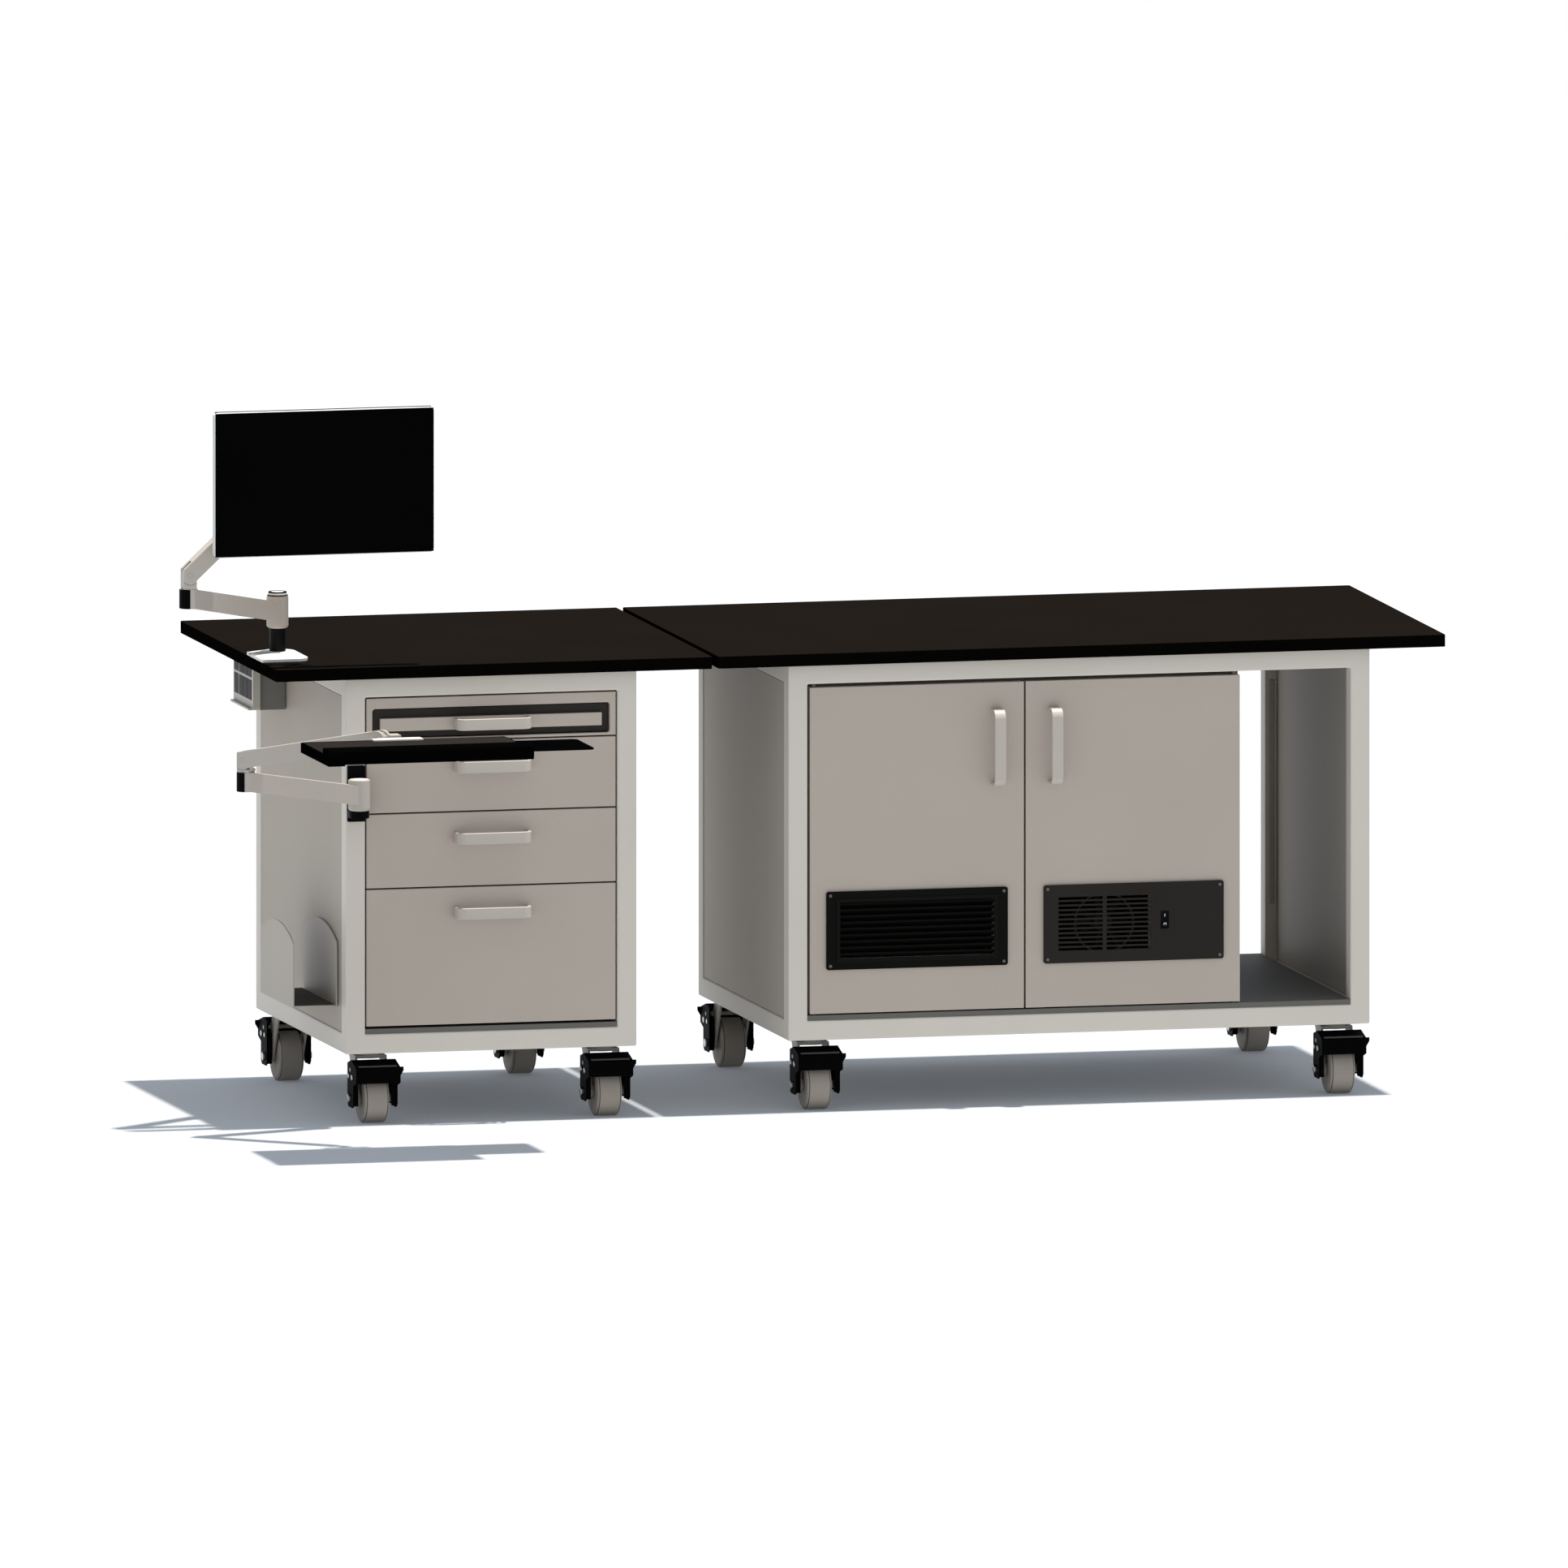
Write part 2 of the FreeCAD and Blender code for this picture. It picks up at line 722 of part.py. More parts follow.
def fan_rotor():
    """Hub with tilted blades that turns on the shaft pin."""
    back = pin_base - fan_hub_gap
    hub_y = (back - fan_hub_depth, back)
    hub = rod(fan_hub_radius, V(0, hub_y[0], 0), V(0, hub_y[1], 0))
    middle = midpoint(hub_y)
    reach = ring_inner - fan_tip_clearance
    blade = block((fan_hub_radius / 2, reach), centred(middle, fan_blade_depth),
                  centred(0, fan_blade_thickness))
    blade = turned(blade, fan_blade_pitch_degrees, X_AXIS, V(0, middle, 0))
    blades = []
    for index in range(fan_blade_count):
        blades.append(turned(blade, index * 360 / fan_blade_count, Y_AXIS))
    rotor = joined(hub, *blades)
    bore = rod(fan_pin_radius + running_clearance, V(0, hub_y[0] - overrun, 0), V(0, hub_y[1] + overrun, 0))
    return moved(rotor.cut(bore), V(fan_centre.x, 0, fan_centre.z))


def power_switch():
    """Rocker with a raised lower half, on two stub pins."""
    front = rocker_centre.y
    back = front + rocker_depth - rocker_slack
    low = rocker_centre.z - rocker_height / 2
    high = rocker_centre.z + rocker_height / 2
    start = rocker_centre.x - rocker_width / 2
    outline = [V(start, back, rocker_centre.z - rocker_height / 4), V(start, front - rocker_proud, low),
               V(start, front, rocker_centre.z), V(start, front, high),
               V(start, back, rocker_centre.z + rocker_height / 4)]
    body = prism(outline, X_AXIS * rocker_width)
    return joined(body, rod(rocker_pin_radius, *rocker_axis(rocker_width / 2 + rocker_pin_length)))


# Outlet box places
outlet_x = (left_frame_x[0] - outlet_body_depth - outlet_plate_depth, left_frame_x[0])
outlet_y = (worktop_depth - outlet_from_rear - outlet_length, worktop_depth - outlet_from_rear)
outlet_z = (frame_top - outlet_height, frame_top)


def outlet_box():
    """Box under the overhang with a faceplate of sockets that faces left and a lip below."""
    plate_x = (outlet_x[0], outlet_x[0] + outlet_plate_depth)
    body = block((plate_x[1], outlet_x[1]), outlet_y, outlet_z)
    plate = soft_block(plate_x, grown(outlet_y, outlet_plate_edge), outlet_z, outlet_plate_edge, X_AXIS)
    lip_x = (outlet_x[0] - outlet_lip_reach, plate_x[1])
    lip = block(lip_x, outlet_y, (outlet_z[0], outlet_z[0] + outlet_lip))
    box = joined(body, plate, lip)
    for row in range(socket_rows):
        for column in range(socket_columns):
            y = midpoint(outlet_y) + (column - (socket_columns - 1) / 2) * socket_pitch_y
            z = midpoint(outlet_z) + (row - (socket_rows - 1) / 2) * socket_pitch_z
            pocket = soft_block((outlet_x[0] - overrun, outlet_x[0] + socket_depth), centred(y, socket_width),
                                centred(z, socket_height), socket_corner, X_AXIS)
            box = box.cut(pocket)
    return box


# Computer holder places
holder_x = (left_frame_x[0] - holder_width, left_frame_x[0])
holder_y = (holder_front, holder_front + holder_length)


def holder_side(x):
    """Upright sheet with a shallow arch along its top."""
    top = holder_floor_height + holder_side_height
    front_low = V(x, holder_y[0], holder_floor_height)
    back_low = V(x, holder_y[1], holder_floor_height)
    front_high = V(x, holder_y[0], top)
    back_high = V(x, holder_y[1], top)
    crest = V(x, midpoint(holder_y), top + holder_arch_rise)
    edges = [Part.makeLine(front_low, back_low), Part.makeLine(back_low, back_high),
             Part.Arc(back_high, crest, front_high).toShape(), Part.makeLine(front_high, front_low)]
    return Part.Face(Part.Wire(edges)).extrude(X_AXIS * holder_sheet)


def cpu_holder():
    """Folded U of sheet with pads that seat it on the side panel."""
    floor = block(holder_x, holder_y, (holder_floor_height, holder_floor_height + holder_sheet))
    sheet = joined(floor, holder_side(holder_x[0]), holder_side(holder_x[1] - holder_sheet))
    pads = []
    for y in (holder_y[0] + holder_pad, holder_y[1] - holder_pad):
        pads.append(block((holder_x[1], holder_x[1] + panel_recess), centred(y, holder_pad),
                          centred(holder_floor_height + holder_pad_lift, holder_pad)))
    return joined(sheet, *pads)


# Monitor arm places
monitor_hub = V(monitor_post_inset, monitor_post_from_front,
                worktop_height + mount_plate + monitor_post_height)


def direction(degrees):
    """Unit vector in plan."""
    return V(math.cos(math.radians(degrees)), math.sin(math.radians(degrees)), 0)


def elbow_seat(hub, length, rise, hub_height, degrees):
    """Top of a lower arm's far boss."""
    return hub + direction(degrees) * length + Z_AXIS * (hub_height / 2 + rise + lower_arm_height / 2)


def arm_end(pivot, length, pitch, degrees):
    """Far pivot of an upper arm."""
    flat = length * math.cos(math.radians(pitch))
    return pivot + direction(degrees) * flat + Z_AXIS * (length * math.sin(math.radians(pitch)))


monitor_seat = elbow_seat(monitor_hub, monitor_lower_length, monitor_lower_rise, monitor_hub_height,
                          monitor_lower_degrees)
monitor_lift = monitor_seat + Z_AXIS * monitor_elbow_rise
monitor_level = arm_end(monitor_lift, monitor_upper_length, monitor_pitch_degrees, monitor_upper_degrees)
monitor_pan = monitor_level + direction(monitor_upper_degrees) * monitor_head_reach
monitor_tilt = monitor_pan - Y_AXIS * tilt_offset

# Keyboard arm places
bracket_z = (frame_top - bracket_from_top - bracket_height, frame_top - bracket_from_top)
bracket_x = centred(left_frame_x[0] + tube_size / 2, bracket_width)
keyboard_hub = V(midpoint(bracket_x), front_overhang - bracket_thickness - hub_radius - keyboard_hub_gap,
                 bracket_z[0] + keyboard_hub_lift)
keyboard_seat = elbow_seat(keyboard_hub, keyboard_lower_length, keyboard_lower_rise, keyboard_hub_height,
                           keyboard_lower_degrees)
keyboard_lift = keyboard_seat + Z_AXIS * keyboard_elbow_rise
keyboard_level = arm_end(keyboard_lift, keyboard_upper_length, keyboard_pitch_degrees, keyboard_upper_degrees)
keyboard_pan = keyboard_level + direction(keyboard_upper_degrees) * keyboard_head_reach
keyboard_tilt = keyboard_pan - Y_AXIS * tilt_offset


def hub_pin(hub, hub_height):
    """Pin that stands in a hub's blind bore."""
    top = hub + Z_AXIS * (hub_height - hub_roof - seat_clearance)
    return rod(hub_pin_radius, hub - Z_AXIS * seat_clearance, top)


def monitor_mount():
    """Grooved base plate on the worktop with the post and pin that carry the arm."""
    plate_z = (worktop_height, worktop_height + mount_plate)
    front, back = centred(mount_from_front, mount_width)
    outline = [V(0, front, plate_z[0]), V(mount_reach, front, plate_z[0]), V(mount_reach, back, plate_z[0]),
               V(mount_cut_x, back, plate_z[0]), V(0, back - mount_cut_y, plate_z[0])]
    plate = prism(outline, Z_AXIS * mount_plate)
    right = [edge for edge in edges_along(plate, Z_AXIS) if edge.BoundBox.XMin > mount_reach - mount_corner]
    plate = plate.makeFillet(mount_corner, right)
    groove_y = (monitor_post_from_front - mount_groove_width, monitor_post_from_front)
    groove_z = (plate_z[1] - mount_groove_depth, plate_z[1] + overrun)
    groove = block((-overrun, monitor_post_inset), groove_y, groove_z)
    foot = V(monitor_post_inset, monitor_post_from_front, worktop_height)
    post = rod(monitor_post_radius, foot, monitor_hub - Z_AXIS * seat_clearance)
    return joined(plate.cut(groove), post, hub_pin(monitor_hub, monitor_hub_height))


def keyboard_bracket():
    """Plate on the front of the left post with a lug and pin under the arm's hub."""
    plate_y = (front_overhang - bracket_thickness, front_overhang)
    plate = soft_block(bracket_x, plate_y, bracket_z, bracket_edge, Y_AXIS)
    lug_top = keyboard_hub.z - seat_clearance
    lug_z = (lug_top - bracket_lug, lug_top)
    reach = hub_radius - bracket_edge
    lug = block(centred(keyboard_hub.x, 2 * reach), (keyboard_hub.y, plate_y[0]), lug_z)
    disc = rod(reach, V(keyboard_hub.x, keyboard_hub.y, lug_z[0]),
               V(keyboard_hub.x, keyboard_hub.y, lug_z[1]))
    return joined(plate, lug, disc, hub_pin(keyboard_hub, keyboard_hub_height))


def lower_arm(hub, length, rise, hub_height, degrees):
    """Rounded hub on its pin, a rising beam and a boss bored for the elbow."""
    middle = hub_height / 2
    half_height = lower_arm_height / 2
    half_width = lower_arm_width / 2
    barrel = rod(hub_radius, ORIGIN, Z_AXIS * hub_height)
    barrel = barrel.makeFillet(hub_edge, [edge for edge in barrel.Edges if edge.BoundBox.ZMax < hub_edge])
    outline = [V(0, -half_width, middle - half_height), V(length, -half_width, middle + rise - half_height),
               V(length, -half_width, middle + rise + half_height), V(0, -half_width, middle + half_height)]
    beam = prism(outline, Y_AXIS * lower_arm_width)
    top = V(length, 0, middle + rise + half_height)
    boss = rod(half_width, top - Z_AXIS * lower_arm_height, top)
    hub_bore = rod(hub_pin_radius + running_clearance, Z_AXIS * -overrun, Z_AXIS * (hub_height - hub_roof))
    elbow_bore = rod(elbow_pin_radius + running_clearance, top - Z_AXIS * (elbow_pin_depth + seat_clearance),
                     top + Z_AXIS * overrun)
    arm = joined(barrel, beam, boss).cut(hub_bore).cut(elbow_bore)
    return moved(turned(arm, degrees), hub)


def tongue(start, run):
    """Flat tongue from a rounded end at the start along a run, with its pivot pin."""
    across = Y_AXIS * (tongue_thickness / 2)
    side = Y_AXIS.cross(run).normalize() * tongue_radius
    bar = prism([start - across - side, start - across + side, start + run - across + side,
                 start + run - across - side], Y_AXIS * tongue_thickness)
    pin_end = Y_AXIS * (upper_arm_width / 2)
    pin = rod(pivot_pin_radius, start - pin_end, start + pin_end)
    return joined(bar, rod(tongue_radius, start - across, start + across), pin)


def elbow(seat, rise, degrees, lowest):
    """Square neck hollowed for the arm's heel, a pin below it and a tongue up to the lift pivot."""
    pivot = Z_AXIS * rise
    foot = Z_AXIS * seat_clearance
    across = Y_AXIS * upper_arm_width
    neck = block(centred(0, 2 * tongue_radius), centred(0, upper_arm_width), (foot.z, rise - tongue_radius))
    neck = neck.cut(rod(heel_radius + tongue_clearance, pivot - across, pivot + across))
    lowered = block((0, upper_arm_height), centred(0, 2 * upper_arm_width),
                    centred(0, upper_arm_height + 2 * tongue_clearance))
    neck = neck.cut(moved(turned(lowered, -lowest, Y_AXIS), pivot))
    pin = rod(elbow_pin_radius, Z_AXIS * -elbow_pin_depth, foot)
    stem = tongue(pivot, foot - pivot)
    return moved(turned(joined(neck, pin, stem), degrees), seat)


def arm_heel(lean):
    """Upright end of an upper arm over its elbow, as wide as the neck, for a beam that leans upward."""
    half_height = upper_arm_height / 2
    edge = (half_height - tongue_radius * math.sin(lean)) / math.cos(lean)
    outline = [(-tongue_radius, -heel_radius), (tongue_radius, -heel_radius), (tongue_radius, -edge),
               (-half_height * math.sin(lean), half_height * math.cos(lean)), (-tongue_radius, edge)]
    across = Y_AXIS * (upper_arm_width / 2)
    upright = prism([V(x, -across.y, z) for x, z in outline], across * 2)
    return upright.common(rod(heel_radius, -across, across))


def upper_arm(pivot, length, pitch, degrees):
    """Beam with a square heel at the elbow, slotted at both ends for the tongues that it turns on."""
    half_height = upper_arm_height / 2
    across = Y_AXIS * (upper_arm_width / 2)
    beam = block((0, length), centred(0, upper_arm_width), centred(0, upper_arm_height))
    ends = [ORIGIN, X_AXIS * length]
    heel = turned(arm_heel(math.radians(pitch)), pitch, Y_AXIS)
    arm = joined(beam, heel, rod(half_height, ends[1] - across, ends[1] + across))
    slot_y = centred(0, tongue_thickness + 2 * tongue_clearance)
    slot_z_span = centred(0, 2 * upper_arm_height)
    arm = arm.cut(block((-upper_arm_height, upper_arm_slot), slot_y, slot_z_span))
    arm = arm.cut(block((length - upper_arm_slot, length + upper_arm_height), slot_y, slot_z_span))
    for end in ends:
        arm = arm.cut(rod(pivot_pin_radius + running_clearance, end - across * 2, end + across * 2))
    return moved(turned(turned(arm, -pitch, Y_AXIS), degrees), pivot)


def level_head(pivot, reach, degrees):
    """Tongue in the upper arm's end with a bored boss on the pan axis."""
    boss_end = V(reach, 0, pan_boss_height / 2)
    boss = rod(pan_boss_radius, V(reach, 0, -pan_boss_height / 2), boss_end)
    bore = rod(pan_pin_radius + running_clearance, V(reach, 0, -pan_boss_height),
               V(reach, 0, pan_boss_height))
    bar = block((0, reach), centred(0, tongue_thickness), centred(0, pan_boss_height))
    stub = tongue(ORIGIN, X_AXIS * (reach / 4))
    return moved(turned(joined(stub, bar, boss).cut(bore), degrees), pivot)


def pan_pivot(pan, barrel_length):
    """Yoke on the pan axis with a tilt barrel and its stub pins in front."""
    inner = pan_boss_height / 2 + seat_clearance
    outer = inner + pan_plate
    plate_x = centred(0, 2 * pan_boss_radius)
    web_y = (-tilt_offset, -pan_boss_radius - seat_clearance)
    web = block(plate_x, web_y, (-outer, outer))
    upper = block(plate_x, (web_y[1], pan_boss_radius), (inner, outer))
    lower = block(plate_x, (web_y[1], pan_boss_radius), (-outer, -inner))
    pin = rod(pan_pin_radius, Z_AXIS * -outer, Z_AXIS * outer)
    middle = V(0, -tilt_offset, 0)
    half = X_AXIS * (barrel_length / 2)
    barrel = rod(tilt_barrel_radius, middle - half, middle + half)
    stub = half + X_AXIS * (seat_clearance + ear_thickness)
    pins = rod(tilt_pin_radius, middle - stub, middle + stub)
    return moved(joined(web, upper, lower, pin, barrel, pins), pan)


def tilt_ears(tilt, barrel_length, reach):
    """Two ears on the tilt pins that reach forward to what they carry."""
    ears = []
    start = barrel_length / 2 + seat_clearance
    for x_span in ((start, start + ear_thickness), (-start - ear_thickness, -start)):
        eye = rod(ear_radius, V(x_span[0], 0, 0), V(x_span[1], 0, 0))
        neck = block(x_span, (-reach, 0), centred(0, ear_neck))
        bore = rod(tilt_pin_radius + running_clearance, V(x_span[0] - overrun, 0, 0),
                   V(x_span[1] + overrun, 0, 0))
        ears.append(moved(joined(eye, neck).cut(bore), tilt))
    return ears


display_y = (monitor_tilt.y - display_ear_reach - display_back_depth - display_thickness,
             monitor_tilt.y - display_ear_reach - display_back_depth)


def monitor_display():
    """Flat display with a raised rear cover and the ears that it tilts on."""
    slab = soft_block(centred(monitor_tilt.x, display_width), display_y,
                      centred(monitor_tilt.z, display_height), display_corner, Y_AXIS)
    cover = soft_block(centred(monitor_tilt.x, display_back_width),
                       (display_y[1], display_y[1] + display_back_depth),
                       centred(monitor_tilt.z, display_back_height), display_back_corner, Y_AXIS)
    return joined(slab, cover, *tilt_ears(monitor_tilt, monitor_barrel, display_ear_reach))


# Keyboard and mouse tray places
tray_y = (keyboard_tilt.y - tray_ear_reach - tray_depth, keyboard_tilt.y - tray_ear_reach)
tray_x = (keyboard_tilt.x - tray_left_reach, keyboard_tilt.x - tray_left_reach + tray_width)
tray_z = centred(keyboard_tilt.z, tray_thickness)
palm_y = (tray_y[0], tray_y[0] + palm_depth)
palm_z = (tray_z[0] - palm_drop, tray_z[0] - palm_drop + palm_height)
mouse_x = (tray_x[1] + mouse_reach - mouse_width, tray_x[1] + mouse_reach)
mouse_y = (palm_y[1] + mouse_from_palm, palm_y[1] + mouse_from_palm + mouse_depth)
mouse_z = (tray_z[0] - seat_clearance - mouse_thickness, tray_z[0] - seat_clearance)
mouse_pin = V(mouse_x[0] + mouse_pin_inset, midpoint(mouse_y), mouse_z[0])


def keyboard_tray():
    """Thin platform with a rim at its left end, a thick palm rest, ears and the mouse tray's pin."""
    platform = block(tray_x, tray_y, tray_z)
    corner = [edge for edge in edges_along(platform, Z_AXIS) if edge.BoundBox.XMin > tray_x[1] - tray_corner]
    platform = platform.makeFillet(tray_corner, corner)
    rim = block((tray_x[0], tray_x[0] + tray_rim_width), tray_y, (tray_z[1] - tray_rim_height, tray_z[1]))
    palm = soft_block(tray_x, palm_y, palm_z, palm_edge, X_AXIS)
    pin = rod(mouse_pin_radius, mouse_pin - Z_AXIS * seat_clearance, V(mouse_pin.x, mouse_pin.y, tray_z[1]))
    head_top = mouse_pin - Z_AXIS * seat_clearance
    head = rod(mouse_pin_head_radius, head_top - Z_AXIS * mouse_pin_head, head_top)
    return joined(platform, rim, palm, pin, head, *tilt_ears(keyboard_tilt, keyboard_barrel, tray_ear_reach))


def mouse_tray():
    """Thin plate that swivels out under the platform."""
    plate = soft_block(mouse_x, mouse_y, mouse_z, mouse_corner, Z_AXIS)
    bore = rod(mouse_pin_radius + running_clearance, mouse_pin - Z_AXIS * overrun,
               mouse_pin + Z_AXIS * overrun)
    return plate.cut(bore)


# Caster places: each is a kingpin in plan with the way that its pedal faces, -1 for the front
def caster_places():
    places = []
    for frame_x in (left_frame_x, right_frame_x):
        for x in grown(frame_x, -caster_inset_x):
            places.append((V(x + caster_front_shift, frame_y[0] + caster_front_inset, 0), -1))
            places.append((V(x, frame_y[1] - caster_rear_inset, 0), 1))
    return places


plate_bottom = caster_height - caster_plate_thickness
crown_top = plate_bottom - race_height
crown_bottom = crown_top - crown_thickness
fork_outer = fork_gap / 2 + fork_sheet
pedal_pin_y = -caster_trail - pedal_pin_back


def set_caster(shape, place, facing):
    """A caster piece turned to face front or rear, under its kingpin."""
    return moved(turned(shape, 0 if facing < 0 else 180), place)


def caster_plate():
    """Top plate with the kingpin below it."""
    plate = soft_block(centred(0, caster_plate_x), centred(0, caster_plate_y), (plate_bottom, caster_height),
                       caster_plate_corner, Z_AXIS)
    return joined(plate, rod(kingpin_radius, Z_AXIS * crown_bottom, Z_AXIS * caster_height))


def caster_fork():
    """Ball race, crown and two legs with the wheel's axle and the pedal's pin."""
    race = rod(race_radius, Z_AXIS * crown_bottom, Z_AXIS * (plate_bottom - seat_clearance))
    crown = block((-fork_outer, fork_outer), centred(0, 2 * fork_top_half), (crown_bottom, crown_top))
    axle_y = -caster_trail
    pieces = [race, crown]
    for inner in (fork_gap / 2, -fork_outer):
        leg = prism([V(inner, -fork_top_half, crown_top), V(inner, fork_top_half, crown_top),
                     V(inner, axle_y + fork_eye_radius, wheel_radius),
                     V(inner, axle_y - fork_eye_radius, wheel_radius)], X_AXIS * fork_sheet)
        pieces.append(leg)
        pieces.append(rod(fork_eye_radius, V(inner, axle_y, wheel_radius),
                          V(inner + fork_sheet, axle_y, wheel_radius)))
    cap = fork_outer + axle_cap_reach
    pieces.append(rod(axle_radius, V(-fork_outer, axle_y, wheel_radius), V(fork_outer, axle_y, wheel_radius)))
    for side in (-1, 1):
        pieces.append(rod(axle_cap_radius, V(side * fork_outer, axle_y, wheel_radius),
                          V(side * cap, axle_y, wheel_radius)))
    pin_reach = pedal_width / 2 + pedal_pin_end
    pieces.append(rod(pedal_pin_radius, V(-pin_reach, pedal_pin_y, pedal_pin_height),
                      V(pin_reach, pedal_pin_y, pedal_pin_height)))
    tab_x = ((fork_gap / 2, fork_outer), (-fork_outer, -fork_gap / 2))
    for x_span in tab_x:
        pieces.append(block(x_span, (pedal_pin_y - pedal_pin_radius, 0),
                            centred(pedal_pin_height, 4 * pedal_pin_radius)))
    bore = rod(kingpin_radius + running_clearance, Z_AXIS * (crown_bottom - overrun), Z_AXIS * caster_height)
    return joined(*pieces).cut(bore)


def caster_wheel():
    """Solid wheel with sloped shoulders and a bored boss."""
    axle_y = -caster_trail
    half = wheel_width / 2
    boss = fork_gap / 2 - wheel_boss_gap
    tyre = rod(wheel_radius, V(-half, axle_y, wheel_radius), V(half, axle_y, wheel_radius))
    tyre = tyre.makeChamfer(wheel_shoulder, [edge for edge in tyre.Edges if len(edge.Vertexes) == 1])
    hub = rod(wheel_boss_radius, V(-boss, axle_y, wheel_radius), V(boss, axle_y, wheel_radius))
    bore = rod(axle_radius + running_clearance, V(-fork_gap, axle_y, wheel_radius),
               V(fork_gap, axle_y, wheel_radius))
    return joined(tyre, hub).cut(bore)


def caster_pedal():
    """Folded cover over the wheel with a sloped top, a front plate and cheeks down to the axle."""
    axle_y = -caster_trail
    front = axle_y - pedal_front
    back = axle_y - pedal_back
    tail = axle_y + pedal_tail
    cheek_front = axle_y - 2 * pedal_cheek_half
    half = pedal_width / 2
    bevel = pedal_cheek_bevel
    outline = [(front, pedal_front_low), (front, pedal_front_high),
               (front + pedal_nose, pedal_front_high + pedal_nose), (back, pedal_top),
               (tail, pedal_top - bevel), (tail, pedal_cheek_low + bevel),
               (tail - bevel, pedal_cheek_low), (cheek_front + bevel, pedal_cheek_low),
               (cheek_front, pedal_cheek_low + bevel), (cheek_front, pedal_front_low - bevel)]
    body = prism([V(-half, y, z) for y, z in outline], X_AXIS * pedal_width)
    sheet = pedal_sheet
    hollow = [(front + sheet, 0), (front + sheet, pedal_front_high - sheet / 2),
              (front + pedal_nose + sheet / 2, pedal_front_high + pedal_nose - sheet),
              (back, pedal_top - sheet), (back, pedal_top + overrun),
              (tail + overrun, pedal_top + overrun), (tail + overrun, 0)]
    inside = prism([V(sheet - half, y, z) for y, z in hollow], X_AXIS * (pedal_width - 2 * sheet))
    bore = rod(pedal_pin_radius + running_clearance, V(-half - overrun, pedal_pin_y, pedal_pin_height),
               V(half + overrun, pedal_pin_y, pedal_pin_height))
    return body.cut(inside).cut(bore)


def build_nodes():
    """Every node's solids by name."""
    nodes = {
        "left_frame": frame_tubes(left_frame_x),
        "left_worktop": [worktop(0, left_worktop_width)],
        "bench_panels": [side_panel(left_frame_x, 0), side_panel(left_frame_x, 1), back_panel(left_frame_x),
                         side_panel(right_frame_x, 0), side_panel(right_frame_x, 1)],
        "left_apron": [apron()],
        "slide_rails": slide_rails(),
        "right_frame": frame_tubes(right_frame_x) + [bay_strip()],
        "right_worktop": [worktop(right_worktop_start, right_worktop_width)],
        "inner_boards": inner_boards(),
        "monitor_mount": [monitor_mount()],
        "outlet_box": [outlet_box()],
        "cpu_holder": [cpu_holder()],
        "keyboard_bracket": [keyboard_bracket()],
        "caster_plates": [set_caster(caster_plate(), place, facing) for place, facing in caster_places()],
        "pullout_shelf": pullout_shelf(),
        "left_door": left_door(),
        "right_door": right_door(),
        "vent_panel": [vent_panel()],
        "fan_panel": [fan_panel()],
        "fan_rotor": [fan_rotor()],
        "power_switch": [power_switch()],
        "monitor_lower_arm": [lower_arm(monitor_hub, monitor_lower_length, monitor_lower_rise,
                                        monitor_hub_height, monitor_lower_degrees)],
        "monitor_elbow": [elbow(monitor_seat, monitor_elbow_rise, monitor_upper_degrees,
                                monitor_pitch_degrees - monitor_drop_degrees)],
        "monitor_upper_arm": [upper_arm(monitor_lift, monitor_upper_length, monitor_pitch_degrees,
                                        monitor_upper_degrees)],
        "monitor_head": [level_head(monitor_level, monitor_head_reach, monitor_upper_degrees)],
        "monitor_pivot": [pan_pivot(monitor_pan, monitor_barrel)],
        "monitor_display": [monitor_display()],
        "keyboard_lower_arm": [lower_arm(keyboard_hub, keyboard_lower_length, keyboard_lower_rise,
                                         keyboard_hub_height, keyboard_lower_degrees)],
        "keyboard_elbow": [elbow(keyboard_seat, keyboard_elbow_rise, keyboard_upper_degrees,
                                 keyboard_pitch_degrees - keyboard_drop_degrees)],
        "keyboard_upper_arm": [upper_arm(keyboard_lift, keyboard_upper_length, keyboard_pitch_degrees,
                                         keyboard_upper_degrees)],
        "keyboard_head": [level_head(keyboard_level, keyboard_head_reach, keyboard_upper_degrees)],
        "keyboard_pivot": [pan_pivot(keyboard_pan, keyboard_barrel)],
        "keyboard_tray": [keyboard_tray()],
        "mouse_tray": [mouse_tray()],
    }
    for number, front_z in enumerate(drawer_spans(), 1):
        nodes[f"drawer_{number}"] = drawer(front_z)
    for number, (place, facing) in enumerate(caster_places(), 1):
        nodes[f"caster_fork_{number}"] = [set_caster(caster_fork(), place, facing)]
        nodes[f"caster_wheel_{number}"] = [set_caster(caster_wheel(), place, facing)]
        nodes[f"caster_pedal_{number}"] = [set_caster(caster_pedal(), place, facing)]
    return nodes


def whole_box(nodes):
    """Bounding box of the whole part."""
    box = FreeCAD.BoundBox()
    for solids in nodes.values():
        for solid in solids:
            box.add(solid.optimalBoundingBox(False))
    return box


# The part's own origin is under the middle of its box, on the floor
nodes = build_nodes()
extent = whole_box(nodes)
shift = V(-extent.Center.x, -extent.Center.y, -extent.ZMin)

os.makedirs("parts", exist_ok=True)
for name, solids in nodes.items():
    placed = [moved(solid, shift) for solid in solids]
    shape = placed[0] if len(placed) == 1 else Part.makeCompound(placed)
    shape.exportStep(f"parts/{name}.step")
print(len(nodes), "nodes", extent, shift)
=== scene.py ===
import json
import math
import bpy
from mathutils import Matrix, Vector

